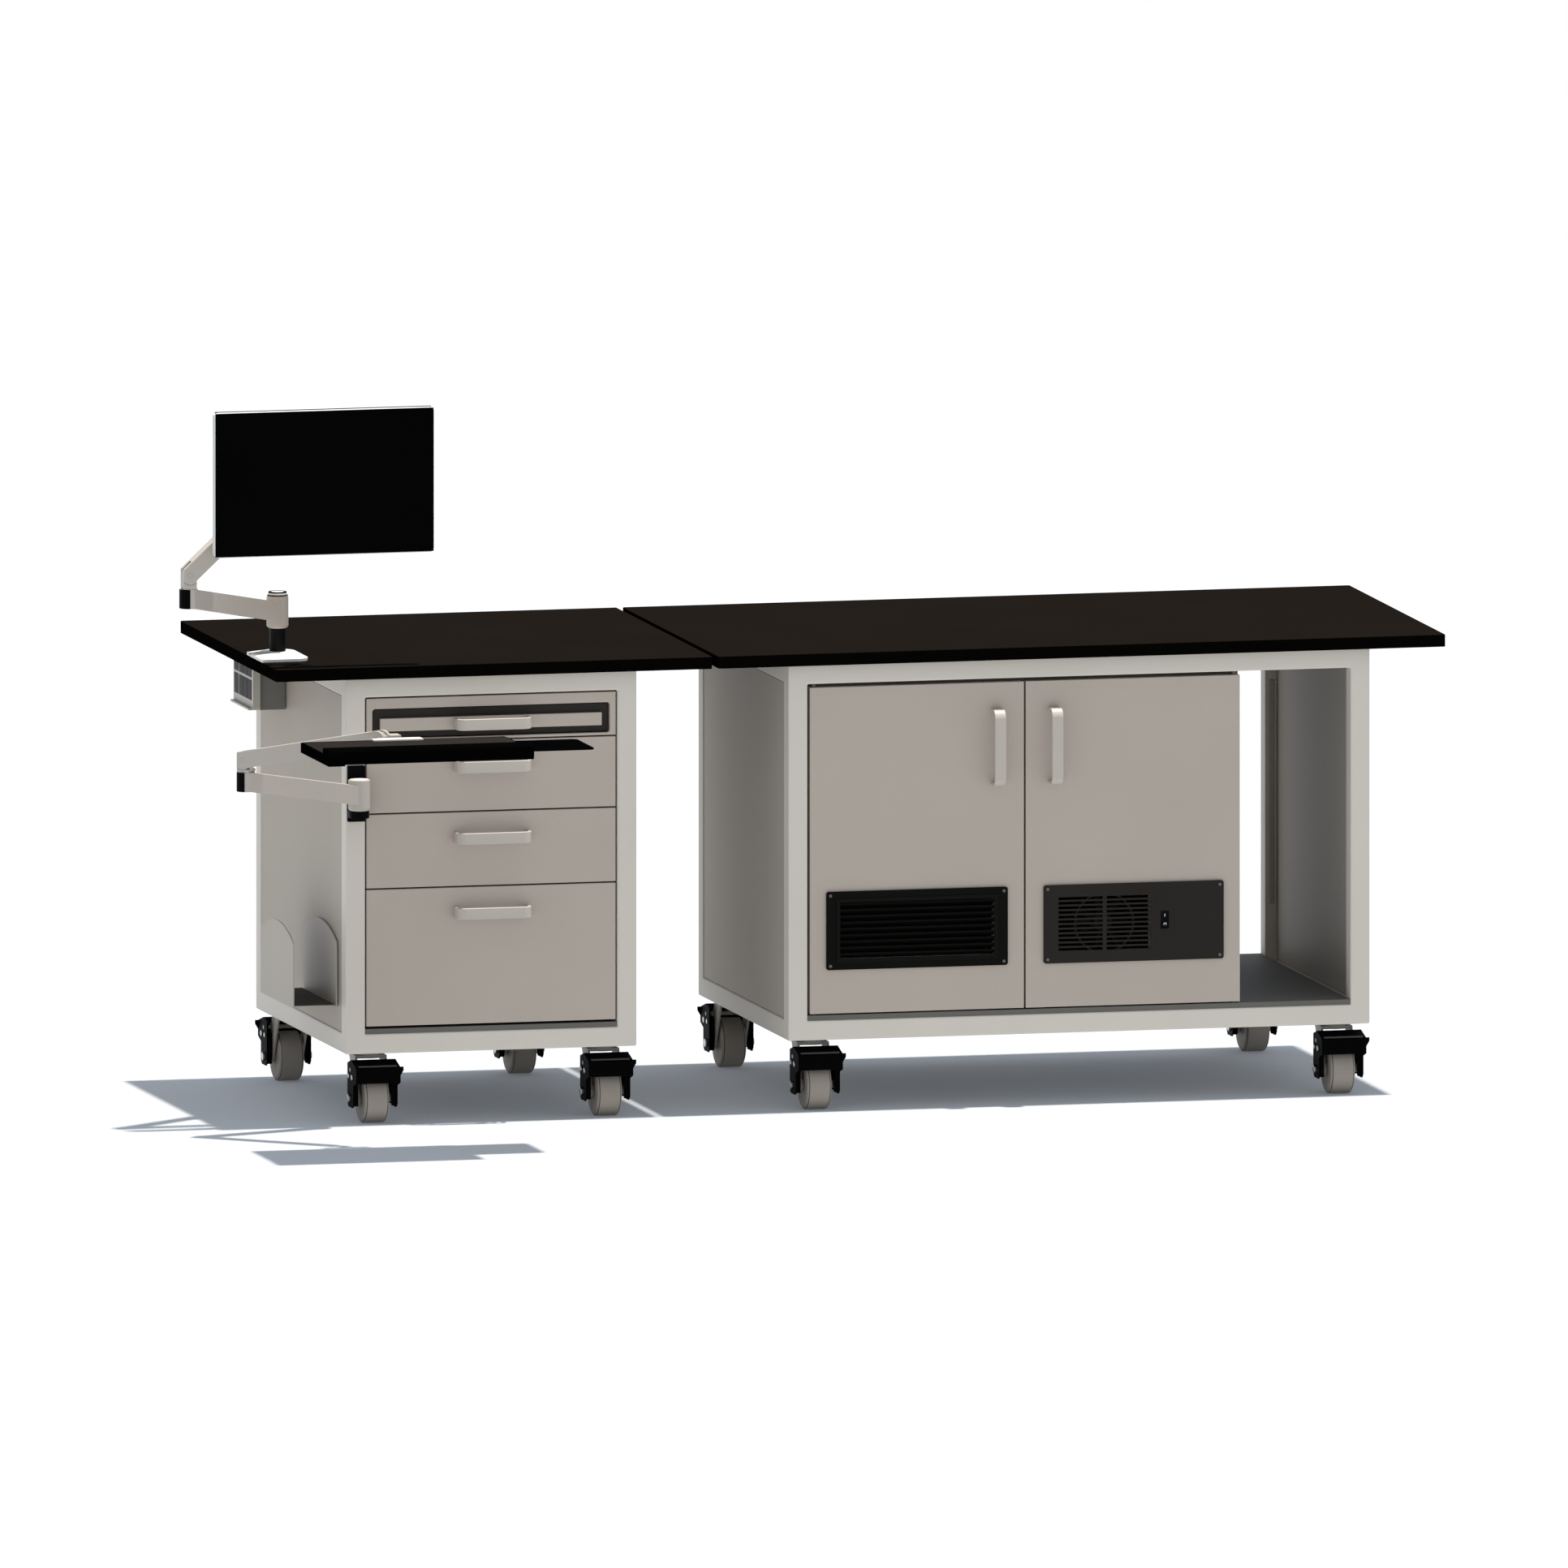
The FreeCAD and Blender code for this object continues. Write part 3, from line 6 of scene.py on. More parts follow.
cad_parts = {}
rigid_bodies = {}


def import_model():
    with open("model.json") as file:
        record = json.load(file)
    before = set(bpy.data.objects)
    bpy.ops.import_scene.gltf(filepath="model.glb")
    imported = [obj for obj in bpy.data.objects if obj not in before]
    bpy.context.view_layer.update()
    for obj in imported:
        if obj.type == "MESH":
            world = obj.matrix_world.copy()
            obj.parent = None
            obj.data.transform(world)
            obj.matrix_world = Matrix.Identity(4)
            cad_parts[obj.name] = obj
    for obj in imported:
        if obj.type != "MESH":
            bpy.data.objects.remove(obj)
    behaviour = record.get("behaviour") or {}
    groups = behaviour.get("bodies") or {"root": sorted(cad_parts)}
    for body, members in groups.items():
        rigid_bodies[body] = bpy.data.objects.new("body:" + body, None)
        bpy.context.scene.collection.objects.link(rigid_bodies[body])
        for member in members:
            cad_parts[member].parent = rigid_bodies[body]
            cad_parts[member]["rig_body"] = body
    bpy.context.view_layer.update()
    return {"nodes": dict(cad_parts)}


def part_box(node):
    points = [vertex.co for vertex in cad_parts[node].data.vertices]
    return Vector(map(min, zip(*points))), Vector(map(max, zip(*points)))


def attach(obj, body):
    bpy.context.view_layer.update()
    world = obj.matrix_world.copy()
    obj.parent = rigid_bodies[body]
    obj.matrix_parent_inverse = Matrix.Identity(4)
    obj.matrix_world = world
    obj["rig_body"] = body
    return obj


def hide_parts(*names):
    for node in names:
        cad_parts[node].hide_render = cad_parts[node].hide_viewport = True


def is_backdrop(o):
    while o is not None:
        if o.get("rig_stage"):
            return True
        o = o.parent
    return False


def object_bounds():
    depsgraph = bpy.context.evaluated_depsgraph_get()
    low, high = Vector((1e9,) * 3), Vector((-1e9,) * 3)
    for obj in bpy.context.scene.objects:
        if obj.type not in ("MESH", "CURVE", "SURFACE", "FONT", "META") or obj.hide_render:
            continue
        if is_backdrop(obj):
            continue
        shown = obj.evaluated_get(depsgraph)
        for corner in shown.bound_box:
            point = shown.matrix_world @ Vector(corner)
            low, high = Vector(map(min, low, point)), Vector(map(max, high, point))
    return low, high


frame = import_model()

# Places are in millimetres from the left worktop's front left corner, on the floor
MM = 0.001
worktop_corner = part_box("left_worktop")[0]
FLOOR_CORNER = Vector((worktop_corner.x, worktop_corner.y, 0.0))
X_WAY = Vector((1, 0, 0))
Y_WAY = Vector((0, 1, 0))
Z_WAY = Vector((0, 0, 1))


def at(x, y, z):
    """The point in the frame, in metres, of a place on the benches."""
    return FLOOR_CORNER + Vector((x, y, z)) * MM


def span(node):
    """Low and high corner of a CAD node as places on the benches."""
    low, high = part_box(node)
    return (low - FLOOR_CORNER) / MM, (high - FLOOR_CORNER) / MM


# Shader wiring
class Wire:
    """A socket of one finish, so that sums of sockets read as sums."""

    def __init__(self, finish, socket):
        self.finish = finish
        self.socket = socket

    def math(self, operation, left, right):
        return self.finish.node("ShaderNodeMath", {"operation": operation}, {0: left, 1: right})

    def __add__(self, other):
        return self.math("ADD", self, other)

    __radd__ = __add__

    def __mul__(self, other):
        return self.math("MULTIPLY", self, other)

    __rmul__ = __mul__

    def __gt__(self, other):
        return self.math("GREATER_THAN", self, other)


class Finish:
    """A material with its nodes; node() adds any node and gives back one output."""

    def __init__(self, name):
        self.material = bpy.data.materials.new(name)
        self.material.use_nodes = True
        self.tree = self.material.node_tree
        self.shader = self.tree.nodes["Principled BSDF"]

    def put(self, node, sockets):
        for key, value in sockets.items():
            if isinstance(value, Wire):
                self.tree.links.new(value.socket, node.inputs[key])
            else:
                node.inputs[key].default_value = value

    def node(self, kind, settings, sockets, out=0):
        made = self.tree.nodes.new(kind)
        for key, value in settings.items():
            if key == "stops":
                for element, (position, grey) in zip(made.color_ramp.elements, value):
                    element.position = position
                    element.color = (grey, grey, grey, 1.0)
            else:
                setattr(made, key, value)
        self.put(made, sockets)
        return Wire(self, made.outputs[out])

    def coords(self, stretch=(1, 1, 1)):
        """Object coordinates, drawn out along an axis where a finish has a grain."""
        place = self.node("ShaderNodeTexCoord", {}, {}, "Object")
        return self.node("ShaderNodeMapping", {}, {"Vector": place, "Scale": stretch})

    def noise(self, place, scale, detail):
        return self.node("ShaderNodeTexNoise", {}, {"Vector": place, "Scale": scale, "Detail": detail})

    def part(self, vector, axis):
        """One axis of a vector."""
        return self.node("ShaderNodeSeparateXYZ", {}, {"Vector": vector}, axis)

    def blend(self, amount, first, second):
        """A colour between two colours."""
        mix = {"data_type": "RGBA", "blend_type": "MIX"}
        return self.node("ShaderNodeMix", mix, {"Factor": amount, 6: first, 7: second}, 2)

    def tint(self, amount, deep, pale):
        """A colour between two screen colours."""
        return self.blend(amount, shade(*deep), shade(*pale))

    def relief(self, height, strength, depth):
        """A bump of some depth in millimetres."""
        sockets = {"Strength": strength, "Distance": depth * MM, "Height": height}
        return self.node("ShaderNodeBump", {}, sockets)

    def coat(self, **sockets):
        """Sets the shader's own sockets, with underscores for the blanks in their names."""
        self.put(self.shader, {key.replace("_", " "): value for key, value in sockets.items()})
        return self.material


def shade(red, green, blue):
    """A screen colour, 0 to 255, as linear light."""
    linear = []
    for value in (red, green, blue):
        share = value / 255
        linear.append(share / 12.92 if share <= 0.04045 else ((share + 0.055) / 1.055) ** 2.4)
    return (*linear, 1.0)


# Finishes of paint, laminate and mouldings
paint_grain = 420.0
grain_detail = 2.0
grain_strength = 0.25
drift_scale = 3.5
drift_detail = 4.0
drift_share = 0.7
sheen_spread = 0.1
band_depth = 0.06


def mottled(made, place, grain):
    """Fine grain, and a tone that mixes it with a slow drift."""
    fine = made.noise(place, grain, grain_detail)
    drift = made.noise(place, drift_scale, drift_detail)
    return fine, drift * drift_share + fine * (1 - drift_share)


def painted(made, color, fine, roughness, depth, gloss):
    """Gives a finish its colour, an uneven sheen and the relief of its grain."""
    sheen = roughness - sheen_spread / 2 + fine * sheen_spread
    return made.coat(Base_Color=color, Roughness=sheen, Specular_IOR_Level=gloss,
                     Normal=made.relief(fine, grain_strength, depth))


def coated(name, deep, pale, roughness, grain=paint_grain, depth=0.10, gloss=0.35):
    """Paint, laminate or moulding in one colour."""
    made = Finish(name)
    fine, tone = mottled(made, made.coords(), grain)
    return painted(made, made.tint(tone, deep, pale), fine, roughness, depth, gloss)


def banded(name, axis, start, near, far, roughness, gloss):
    """Paint that changes at one place along an axis; near and far are each a deep and a pale colour."""
    made = Finish(name)
    place = made.coords()
    fine, tone = mottled(made, place, paint_grain)
    beyond = made.part(place, axis) > start
    color = made.blend(beyond, made.tint(tone, *near), made.tint(tone, *far))
    return painted(made, color, fine, roughness, band_depth, gloss)


def brushed(name, deep, pale, roughness, stretch):
    """Metal with a grain along one axis."""
    line_share = 0.6
    line_spread = 0.16
    made = Finish(name)
    lines = made.noise(made.coords(stretch), scale=260.0, detail=3.0)
    drift = made.noise(made.coords(), scale=8.0, detail=3.0)
    tone = lines * line_share + drift * (1 - line_share)
    sheen = roughness - line_spread / 2 + lines * line_spread
    return made.coat(Base_Color=made.tint(tone, deep, pale), Roughness=sheen, Metallic=1.0,
                     Normal=made.relief(lines, strength=0.15, depth=0.05))


def speckled(name, deep, pale, fleck, edge):
    """Honed resin: near black with fine paler flecks, faint wipe marks and painted shade on its sides."""
    fleck_share = 0.25
    wiped_roughness = 0.56
    wipe_spread = 0.08
    fleck_stops = ((0.10, 1), (0.22, 0))
    made = Finish(name)
    place = made.coords()
    cells = made.node("ShaderNodeTexVoronoi", {"feature": "F1"}, {"Vector": place, "Scale": 340.0})
    flecks = made.node("ShaderNodeValToRGB", {"stops": fleck_stops}, {"Fac": cells})
    drift = made.noise(place, scale=4.0, detail=4.0)
    wipes = made.noise(made.coords((1.0, 2.0, 1.0)), scale=5.0, detail=5.0)
    # Painted shade: faces that look sideways or down take the near black edge colour
    upward = made.part(made.node("ShaderNodeNewGeometry", {}, {}, "Normal"), "Z")
    resin_with_painted_side_shade = made.blend(upward, shade(*edge), made.tint(drift, deep, pale))
    color = made.blend(flecks * fleck_share, resin_with_painted_side_shade, shade(*fleck))
    pores = made.noise(place, scale=500.0, detail=2.0)
    sheen = wiped_roughness + wipes * wipe_spread
    return made.coat(Base_Color=color, Roughness=sheen, Specular_IOR_Level=0.0,
                     Normal=made.relief(pores, strength=0.12, depth=0.05))


def screen_glass(name, deep, pale):
    """Dark display glass with a faint uneven sheen."""
    clear_roughness = 0.24
    smear_spread = 0.12
    made = Finish(name)
    drift = made.noise(made.coords(), scale=6.0, detail=3.0)
    smears = made.noise(made.coords((1.0, 1.0, 3.0)), scale=22.0, detail=4.0)
    sheen = clear_roughness + smears * smear_spread
    return made.coat(Base_Color=made.tint(drift, deep, pale), Roughness=sheen, Specular_IOR_Level=0.01)


def studio_ground(name, deep, pale):
    """Pale floor with a little light of its own in its shadows."""
    made = Finish(name)
    drift = made.noise(made.coords(), scale=2.0, detail=3.0)
    return made.coat(Base_Color=made.tint(drift, deep, pale), Roughness=0.85, Specular_IOR_Level=0.0,
                     Emission_Color=(0.86, 0.93, 1.0, 1.0), Emission_Strength=0.093)


# Finishes of the benches
frame_coat = coated("frame_coat", (204, 195, 181), (219, 211, 199), roughness=0.50)
front_laminate = coated("front_laminate", (176, 163, 150), (192, 180, 167),
                        roughness=0.55, grain=260.0, depth=0.06, gloss=0.25)
panel_laminate = coated("panel_laminate", (165, 154, 140), (182, 171, 157),
                        roughness=0.55, grain=260.0, depth=0.06, gloss=0.25)
# The worktop's sides get a near black edge colour as painted shade
worktop_resin = speckled("worktop_resin", (22, 18, 15), (25, 21, 18), fleck=(38, 34, 30), edge=(6, 5, 4))
dark_board = coated("dark_board", (93, 90, 84), (114, 111, 104),
                    roughness=0.60, grain=240.0, depth=0.08, gloss=0.2)
fascia_dark = coated("fascia_dark", (42, 38, 34), (54, 49, 44),
                     roughness=0.60, grain=260.0, depth=0.06, gloss=0.1)
pan_steel = coated("pan_steel", (150, 147, 142), (168, 165, 160), roughness=0.45, grain=300.0, depth=0.05)
slide_zinc = brushed("slide_zinc", (150, 150, 150), (205, 205, 203),
                     roughness=0.38, stretch=(12.0, 1.0, 12.0))
handle_satin = coated("handle_satin", (180, 170, 158), (196, 187, 175),
                      roughness=0.42, grain=500.0, depth=0.04)
holder_coat = coated("holder_coat", (167, 158, 145), (184, 175, 163),
                     roughness=0.50, grain=420.0, depth=0.08, gloss=0.25)
# Dark grey for the computer holder's floor, as painted shade
holder_shade_grey = coated("holder_shade_grey", (62, 58, 53), (78, 74, 68), roughness=0.70, grain=260.0, depth=0.12, gloss=0.1)
socket_dark = coated("socket_dark", (38, 35, 32), (52, 49, 45),
                     roughness=0.50, grain=400.0, depth=0.05, gloss=0.1)

# Finishes of the doors' fittings
vent_coat = coated("vent_coat", (12, 11, 9), (20, 19, 16), roughness=0.55, gloss=0.06)
fan_coat = coated("fan_coat", (38, 34, 30), (49, 45, 41), roughness=0.55, gloss=0.06)
fan_plastic = coated("fan_plastic", (34, 32, 30), (46, 44, 42),
                     roughness=0.50, grain=400.0, depth=0.06, gloss=0.1)
rocker_gloss = coated("rocker_gloss", (3, 3, 3), (7, 7, 7),
                      roughness=0.30, grain=500.0, depth=0.02, gloss=0.06)
mark_white = coated("mark_white", (214, 213, 210), (232, 231, 228), roughness=0.50, grain=500.0, depth=0.02)
screw_dull = coated("screw_dull", (84, 80, 75), (112, 108, 102), roughness=0.45, grain=500.0, depth=0.02)

# Finishes of the arms, the display and the trays
arm_grey = coated("arm_grey", (172, 162, 150), (190, 181, 170), roughness=0.42, grain=500.0, depth=0.05)
mount_white = coated("mount_white", (214, 210, 203), (228, 225, 219), roughness=0.42, grain=500.0, depth=0.05)
# Grey for the mount's groove floor, as painted shade
groove_painted_shade = coated("groove_painted_shade", (110, 107, 100), (126, 123, 116), roughness=0.50, grain=400.0, depth=0.05)
joint_black = coated("joint_black", (3, 3, 3), (8, 8, 8), roughness=0.45, grain=400.0, depth=0.06, gloss=0.03)
case_pale = coated("case_pale", (206, 203, 198), (222, 220, 215), roughness=0.45, grain=600.0, depth=0.04)
case_dark = coated("case_dark", (24, 24, 25), (34, 34, 35),
                   roughness=0.55, grain=500.0, depth=0.08, gloss=0.2)
display_glass = screen_glass("display_glass", (2, 2, 2), (5, 5, 5))
tray_top = coated("tray_top", (28, 23, 18), (38, 32, 26), roughness=0.60, grain=300.0, gloss=0.02)
palm_black = coated("palm_black", (2, 2, 2), (5, 5, 5), roughness=0.60, grain=350.0, gloss=0.0)

# Finishes of the casters
caster_zinc = coated("caster_zinc", (150, 143, 132), (172, 165, 154),
                     roughness=0.38, grain=380.0, depth=0.06, gloss=0.3)
tread_grey = coated("tread_grey", (136, 127, 116), (158, 149, 138), roughness=0.62, grain=300.0, gloss=0.2)
pedal_black = coated("pedal_black", (2, 2, 2), (6, 6, 6),
                     roughness=0.50, grain=300.0, depth=0.08, gloss=0.015)
# Grey of the cover's ridge, also used for painted groove shade on the tyres
ridge_grey_and_groove_shade = coated("ridge_grey_and_groove_shade", (52, 51, 49), (66, 65, 62),
                    roughness=0.45, grain=300.0, depth=0.08, gloss=0.2)
screw_zinc = brushed("screw_zinc", (150, 150, 148), (214, 213, 210), roughness=0.30, stretch=(6.0, 1.0, 6.0))

# Modelling helpers
weld_gap = 0.01
flat_degrees = 0.5
sharp_degrees = 40.0
facing_limit = 0.9


def only(piece):
    """Selects one piece and nothing else."""
    bpy.ops.object.select_all(action="DESELECT")
    piece.select_set(True)
    bpy.context.view_layer.objects.active = piece


def block(name, low, high):
    """A box between two points, to be shaped further."""
    bpy.ops.object.select_all(action="DESELECT")
    bpy.ops.mesh.primitive_cube_add(size=1, location=(low + high) / 2)
    piece = bpy.context.object
    piece.name = name
    piece.scale = high - low
    bpy.ops.object.transform_apply(location=True, rotation=False, scale=True)
    return piece


def stud(name, seat, way, sunk, proud, radius, sides):
    """A round bar that starts sunk below a point and stands proud of it one way, to be shaped further."""
    start = seat - way * sunk * MM
    end = seat + way * proud * MM
    bpy.ops.object.select_all(action="DESELECT")
    bpy.ops.mesh.primitive_cylinder_add(vertices=sides, radius=radius * MM, depth=(end - start).length,
                                        location=(start + end) / 2,
                                        rotation=way.to_track_quat("Z", "Y").to_euler())
    piece = bpy.context.object
    piece.name = name
    bpy.ops.object.transform_apply(location=True, rotation=True, scale=True)
    return piece


def edit_faces(piece, test):
    """Opens a piece in edit mode with the faces selected that pass a test."""
    only(piece)
    bpy.ops.object.mode_set(mode="EDIT")
    bpy.ops.mesh.select_mode(type="FACE")
    bpy.ops.mesh.select_all(action="DESELECT")
    bpy.ops.object.mode_set(mode="OBJECT")
    for face in piece.data.polygons:
        face.select = test(face)
    bpy.ops.object.mode_set(mode="EDIT")


def edit_all(piece):
    """Opens a piece in edit mode with everything selected."""
    only(piece)
    bpy.ops.object.mode_set(mode="EDIT")
    bpy.ops.mesh.select_all(action="SELECT")


def done():
    bpy.ops.object.mode_set(mode="OBJECT")


def facing(*ways):
    """A test for faces that look along one of some directions."""
    return lambda face: any(face.normal.dot(way) > facing_limit for way in ways)


def inset(border, push=0.0):
    """Insets the selected faces and pushes the inner ones along their normals."""
    bpy.ops.mesh.inset(thickness=border * MM, depth=push * MM)


def dished(piece, way, border, push):
    """Insets the face of a piece that looks one way, and pushes the middle in or out."""
    edit_faces(piece, facing(way))
    inset(border, push)
    done()
    return piece


def pierced(piece, way, border):
    """Opens a piece right through along one way, inside a border."""
    edit_faces(piece, facing(way, -way))
    inset(border)
    bpy.ops.mesh.bridge_edge_loops()
    done()
    return tidy_mesh(piece, weld_gap)


def applied(piece, kind, **settings):
    """Adds one modifier to a piece and applies it."""
    only(piece)
    change = piece.modifiers.new("change", kind)
    for key, value in settings.items():
        setattr(change, key, value)
    bpy.ops.object.modifier_apply(modifier=change.name)
    return piece


def ease(piece, width, segments=2):
    """Rounds the sharp edges of a piece."""
    return applied(piece, "BEVEL", width=width * MM, segments=segments, limit_method="ANGLE",
                   angle_limit=math.radians(sharp_degrees))


def tidy_mesh(piece, gap):
    """Merges points that lie together and turns the normals outward."""
    edit_all(piece)
    bpy.ops.mesh.remove_doubles(threshold=gap * MM)
    bpy.ops.mesh.normals_make_consistent(inside=False)
    done()
    return piece


def dress(piece, body, finish, node=None):
    """Shades a finished piece, gives it its finish and sets it on its body."""
    only(piece)
    bpy.ops.object.shade_smooth_by_angle(angle=math.radians(sharp_degrees))
    applied(piece, "WEIGHTED_NORMAL", keep_sharp=True)
    piece.data.materials.clear()
    piece.data.materials.append(finish)
    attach(piece, body)
    if node:
        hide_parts(node)
    return piece


def copy_to(piece, name, matrix):
    """A copy of a piece with its own mesh, moved to another place."""
    copy = bpy.data.objects.new(name, piece.data.copy())
    copy.data.transform(matrix)
    bpy.context.scene.collection.objects.link(copy)
    return copy


def shifted(x, y, z):
    return Matrix.Translation(Vector((x, y, z)) * MM)


def merged(pieces, name):
    """Several pieces as one."""
    bpy.ops.object.select_all(action="DESELECT")
    for piece in pieces:
        piece.select_set(True)
    bpy.context.view_layer.objects.active = pieces[0]
    bpy.ops.object.join()
    pieces[0].name = name
    return pieces[0]


def copied(node, name):
    """A merged copy of a CAD node's mesh, to be shaped further."""
    piece = bpy.data.objects.new(name, frame["nodes"][node].data.copy())
    bpy.context.scene.collection.objects.link(piece)
    only(piece)
    bpy.ops.mesh.customdata_custom_splitnormals_clear()
    edit_all(piece)
    bpy.ops.mesh.remove_doubles(threshold=weld_gap * MM)
    bpy.ops.mesh.dissolve_limited(angle_limit=math.radians(flat_degrees))
    done()
    return piece


def reach(piece):
    """Low and high corner of a piece as places on the benches."""
    points = [(vertex.co - FLOOR_CORNER) / MM for vertex in piece.data.vertices]
    low = Vector([min(point[axis] for point in points) for axis in range(3)])
    high = Vector([max(point[axis] for point in points) for axis in range(3)])
    return low, high


def solids_of(node):
    """Copies of a CAD node's separate solids, each with its low and high corner."""
    piece = copied(node, node + "_copy")
    only(piece)
    bpy.ops.mesh.separate(type="LOOSE")
    return [(solid, *reach(solid)) for solid in bpy.context.selected_objects]


def cap_over(piece, name, test, thickness):
    """A thin cap over the faces of a piece that pass a test."""
    cap = copy_to(piece, name, Matrix.Identity(4))
    edit_faces(cap, lambda face: not test(face))
    bpy.ops.mesh.delete(type="FACE")
    done()
    return applied(cap, "SOLIDIFY", thickness=thickness * MM, offset=1.0, use_even_offset=True)


def eased(node, name, finish, width, segments=2):
    """A CAD node's own shape with rounded edges and its finish."""
    piece = ease(copied(node, name), width, segments)
    return dress(piece, frame["nodes"][node]["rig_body"], finish, node)


def paint(node, finish):
    """Gives a CAD node that is shown as it is its finish."""
    shown = frame["nodes"][node]
    shown.data.materials.clear()
    shown.data.materials.append(finish)


# Rails, boards and caster plates that show as they are
paint("slide_rails", slide_zinc)
paint("inner_boards", dark_board)
paint("caster_plates", caster_zinc)

# Frames: each is a box opened on six sides inside the tube's width and thickened inward, so no seams show
tube = 40.0
tube_edge = 3.5
tube_weld_gap = 0.2
bay_strip_edge = 0.6


def welded_frame(node, name):
    low, high = span(node)
    piece = block(name, at(*low), at(*high))
    edit_faces(piece, lambda face: True)
    bpy.ops.mesh.inset(thickness=tube * MM, use_individual=True)
    bpy.ops.mesh.delete(type="FACE")
    done()
    applied(piece, "SOLIDIFY", thickness=tube * MM, offset=-1.0, use_even_offset=True)
    ease(tidy_mesh(piece, tube_weld_gap), tube_edge, segments=3)
    return dress(piece, "benches", frame_coat, node)


welded_frame("left_frame", "left_welded_frame")
welded_frame("right_frame", "right_welded_frame")
for solid, low, high in solids_of("right_frame"):
    if high.x - low.x < tube / 2:
        solid.name = "bay_strip"
        dress(ease(solid, bay_strip_edge), "benches", panel_laminate, "right_frame")
    else:
        bpy.data.objects.remove(solid)

# Worktops, panels and apron
worktop_edge = 1.2
panel_edge = 1.0
for bench in ("left", "right"):
    slab = f"{bench}_worktop_slab"
    eased(f"{bench}_worktop", slab, worktop_resin, worktop_edge, segments=3)
eased("bench_panels", "infill_panels", panel_laminate, panel_edge)
eased("left_apron", "apron_board", front_laminate, panel_edge)

# Drawers, shelf and doors, each with its bow handle
apron_low, apron_high = span("left_apron")
front_face = apron_low.y
front_back = apron_high.y
drawer_middle = (apron_low.x + apron_high.x) / 2
depth_slack = 1.0
fascia_slack = 5.0
slide_bar_limit = 10.0
pan_wall = 12.0
pan_floor = 8.0
handle_edge = 1.6
drawer_edge = 1.4
door_edge = 1.2
shelf_bar_edge = 1.0
slide_bar_edge = 0.6
inner_edge = 0.8


def drawer_finish(low, high):
    """Name, finish, slot and edge of a drawer's solid, told by its place."""
    if low.y < front_back - depth_slack:
        return "front", front_laminate, "board_grey", drawer_edge
    if high.x - low.x < slide_bar_limit:
        side = "left" if low.x < drawer_middle else "right"
        return side + "_slide_bar", slide_zinc, None, slide_bar_edge
    return "pan", pan_steel, None, inner_edge


def shelf_finish(low, high):
    """Name, finish, slot and edge of a solid of the shelf, told by its place."""
    if low.y < front_face + depth_slack:
        return "bar", front_laminate, "board_grey", shelf_bar_edge
    if low.y < front_back - fascia_slack:
        return "fascia", fascia_dark, "board_grey", inner_edge
    return "board", dark_board, None, inner_edge


def door_finish(low, high):
    return "leaf", front_laminate, "board_grey", door_edge


def open_pan(name, low, high):
    """A drawer's pan, opened from above inside its walls."""
    pan = block(name, at(*low), at(*high))
    edit_faces(pan, facing(Z_WAY))
    inset(pan_wall)
    sink = Z_WAY * (low.z + pan_floor - high.z) * MM
    bpy.ops.mesh.extrude_region_move(TRANSFORM_OT_translate={"value": sink})
    done()
    return pan


def front_pieces(node, finishes):
    """A front with its handle and what stands behind it; boards that touch are made anew as one piece."""
    for solid, low, high in solids_of(node):
        if low.y < front_face - depth_slack:
            solid.name = node + "_handle"
            dress(ease(solid, handle_edge, segments=3), node, handle_satin)
            continue
        part, finish, slot, edge = finishes(low, high)
        name = f"{node}_{part}"
        segments = 3
        if part == "pan":
            bpy.data.objects.remove(solid)
            solid = open_pan(name, low, high)
            segments = 2
        elif part == "board":
            bpy.data.objects.remove(solid)
            solid = block(name, at(*low), at(*high))
        solid.name = name
        dress(ease(solid, edge, segments), node, finish, node)


for drawer_node in ("drawer_1", "drawer_2", "drawer_3"):
    front_pieces(drawer_node, drawer_finish)
front_pieces("pullout_shelf", shelf_finish)
front_pieces("left_door", door_finish)
front_pieces("right_door", door_finish)

# Vent panel with a lip round its louvres, fan panel, fan and rocker
vent_low, vent_high = span("vent_panel")
fan_low, fan_high = span("fan_panel")
plate_thickness = 5.0
plate_face = front_face - plate_thickness
louvre_shade_start = 1.2
louvre_edge = 0.5
rocker_edge = 0.8
# Painted shade: the louvres are darker from just behind the plate's face inward
louvre_coat_with_painted_shade = banded("louvre_coat_with_painted_shade", "Y", at(0, plate_face + louvre_shade_start, 0).y,
                     near=((12, 11, 9), (20, 19, 16)), far=((7, 7, 6), (13, 12, 11)),
                     roughness=0.55, gloss=0.04)
eased("vent_panel", "vent_louvres", louvre_coat_with_painted_shade, louvre_edge, segments=1)
eased("fan_panel", "fan_grille", fan_coat, louvre_edge, segments=1)
eased("fan_rotor", "fan_blades", fan_plastic, louvre_edge, segments=1)
eased("power_switch", "rocker_key", rocker_gloss, rocker_edge, segments=3)

lip_inset_x = 20.0
lip_inset_z = 14.0
lip_width = 8.0
lip_proud = 1.6
lip_sunk = 0.4
lip_edge = 0.6
lip_low = at(vent_low.x + lip_inset_x, plate_face - lip_proud, vent_low.z + lip_inset_z)
lip_high = at(vent_high.x - lip_inset_x, plate_face + lip_sunk, vent_high.z - lip_inset_z)
vent_lip = pierced(block("vent_inner_lip", lip_low, lip_high), Y_WAY, lip_width)
dress(ease(vent_lip, lip_edge), "left_door", vent_coat)

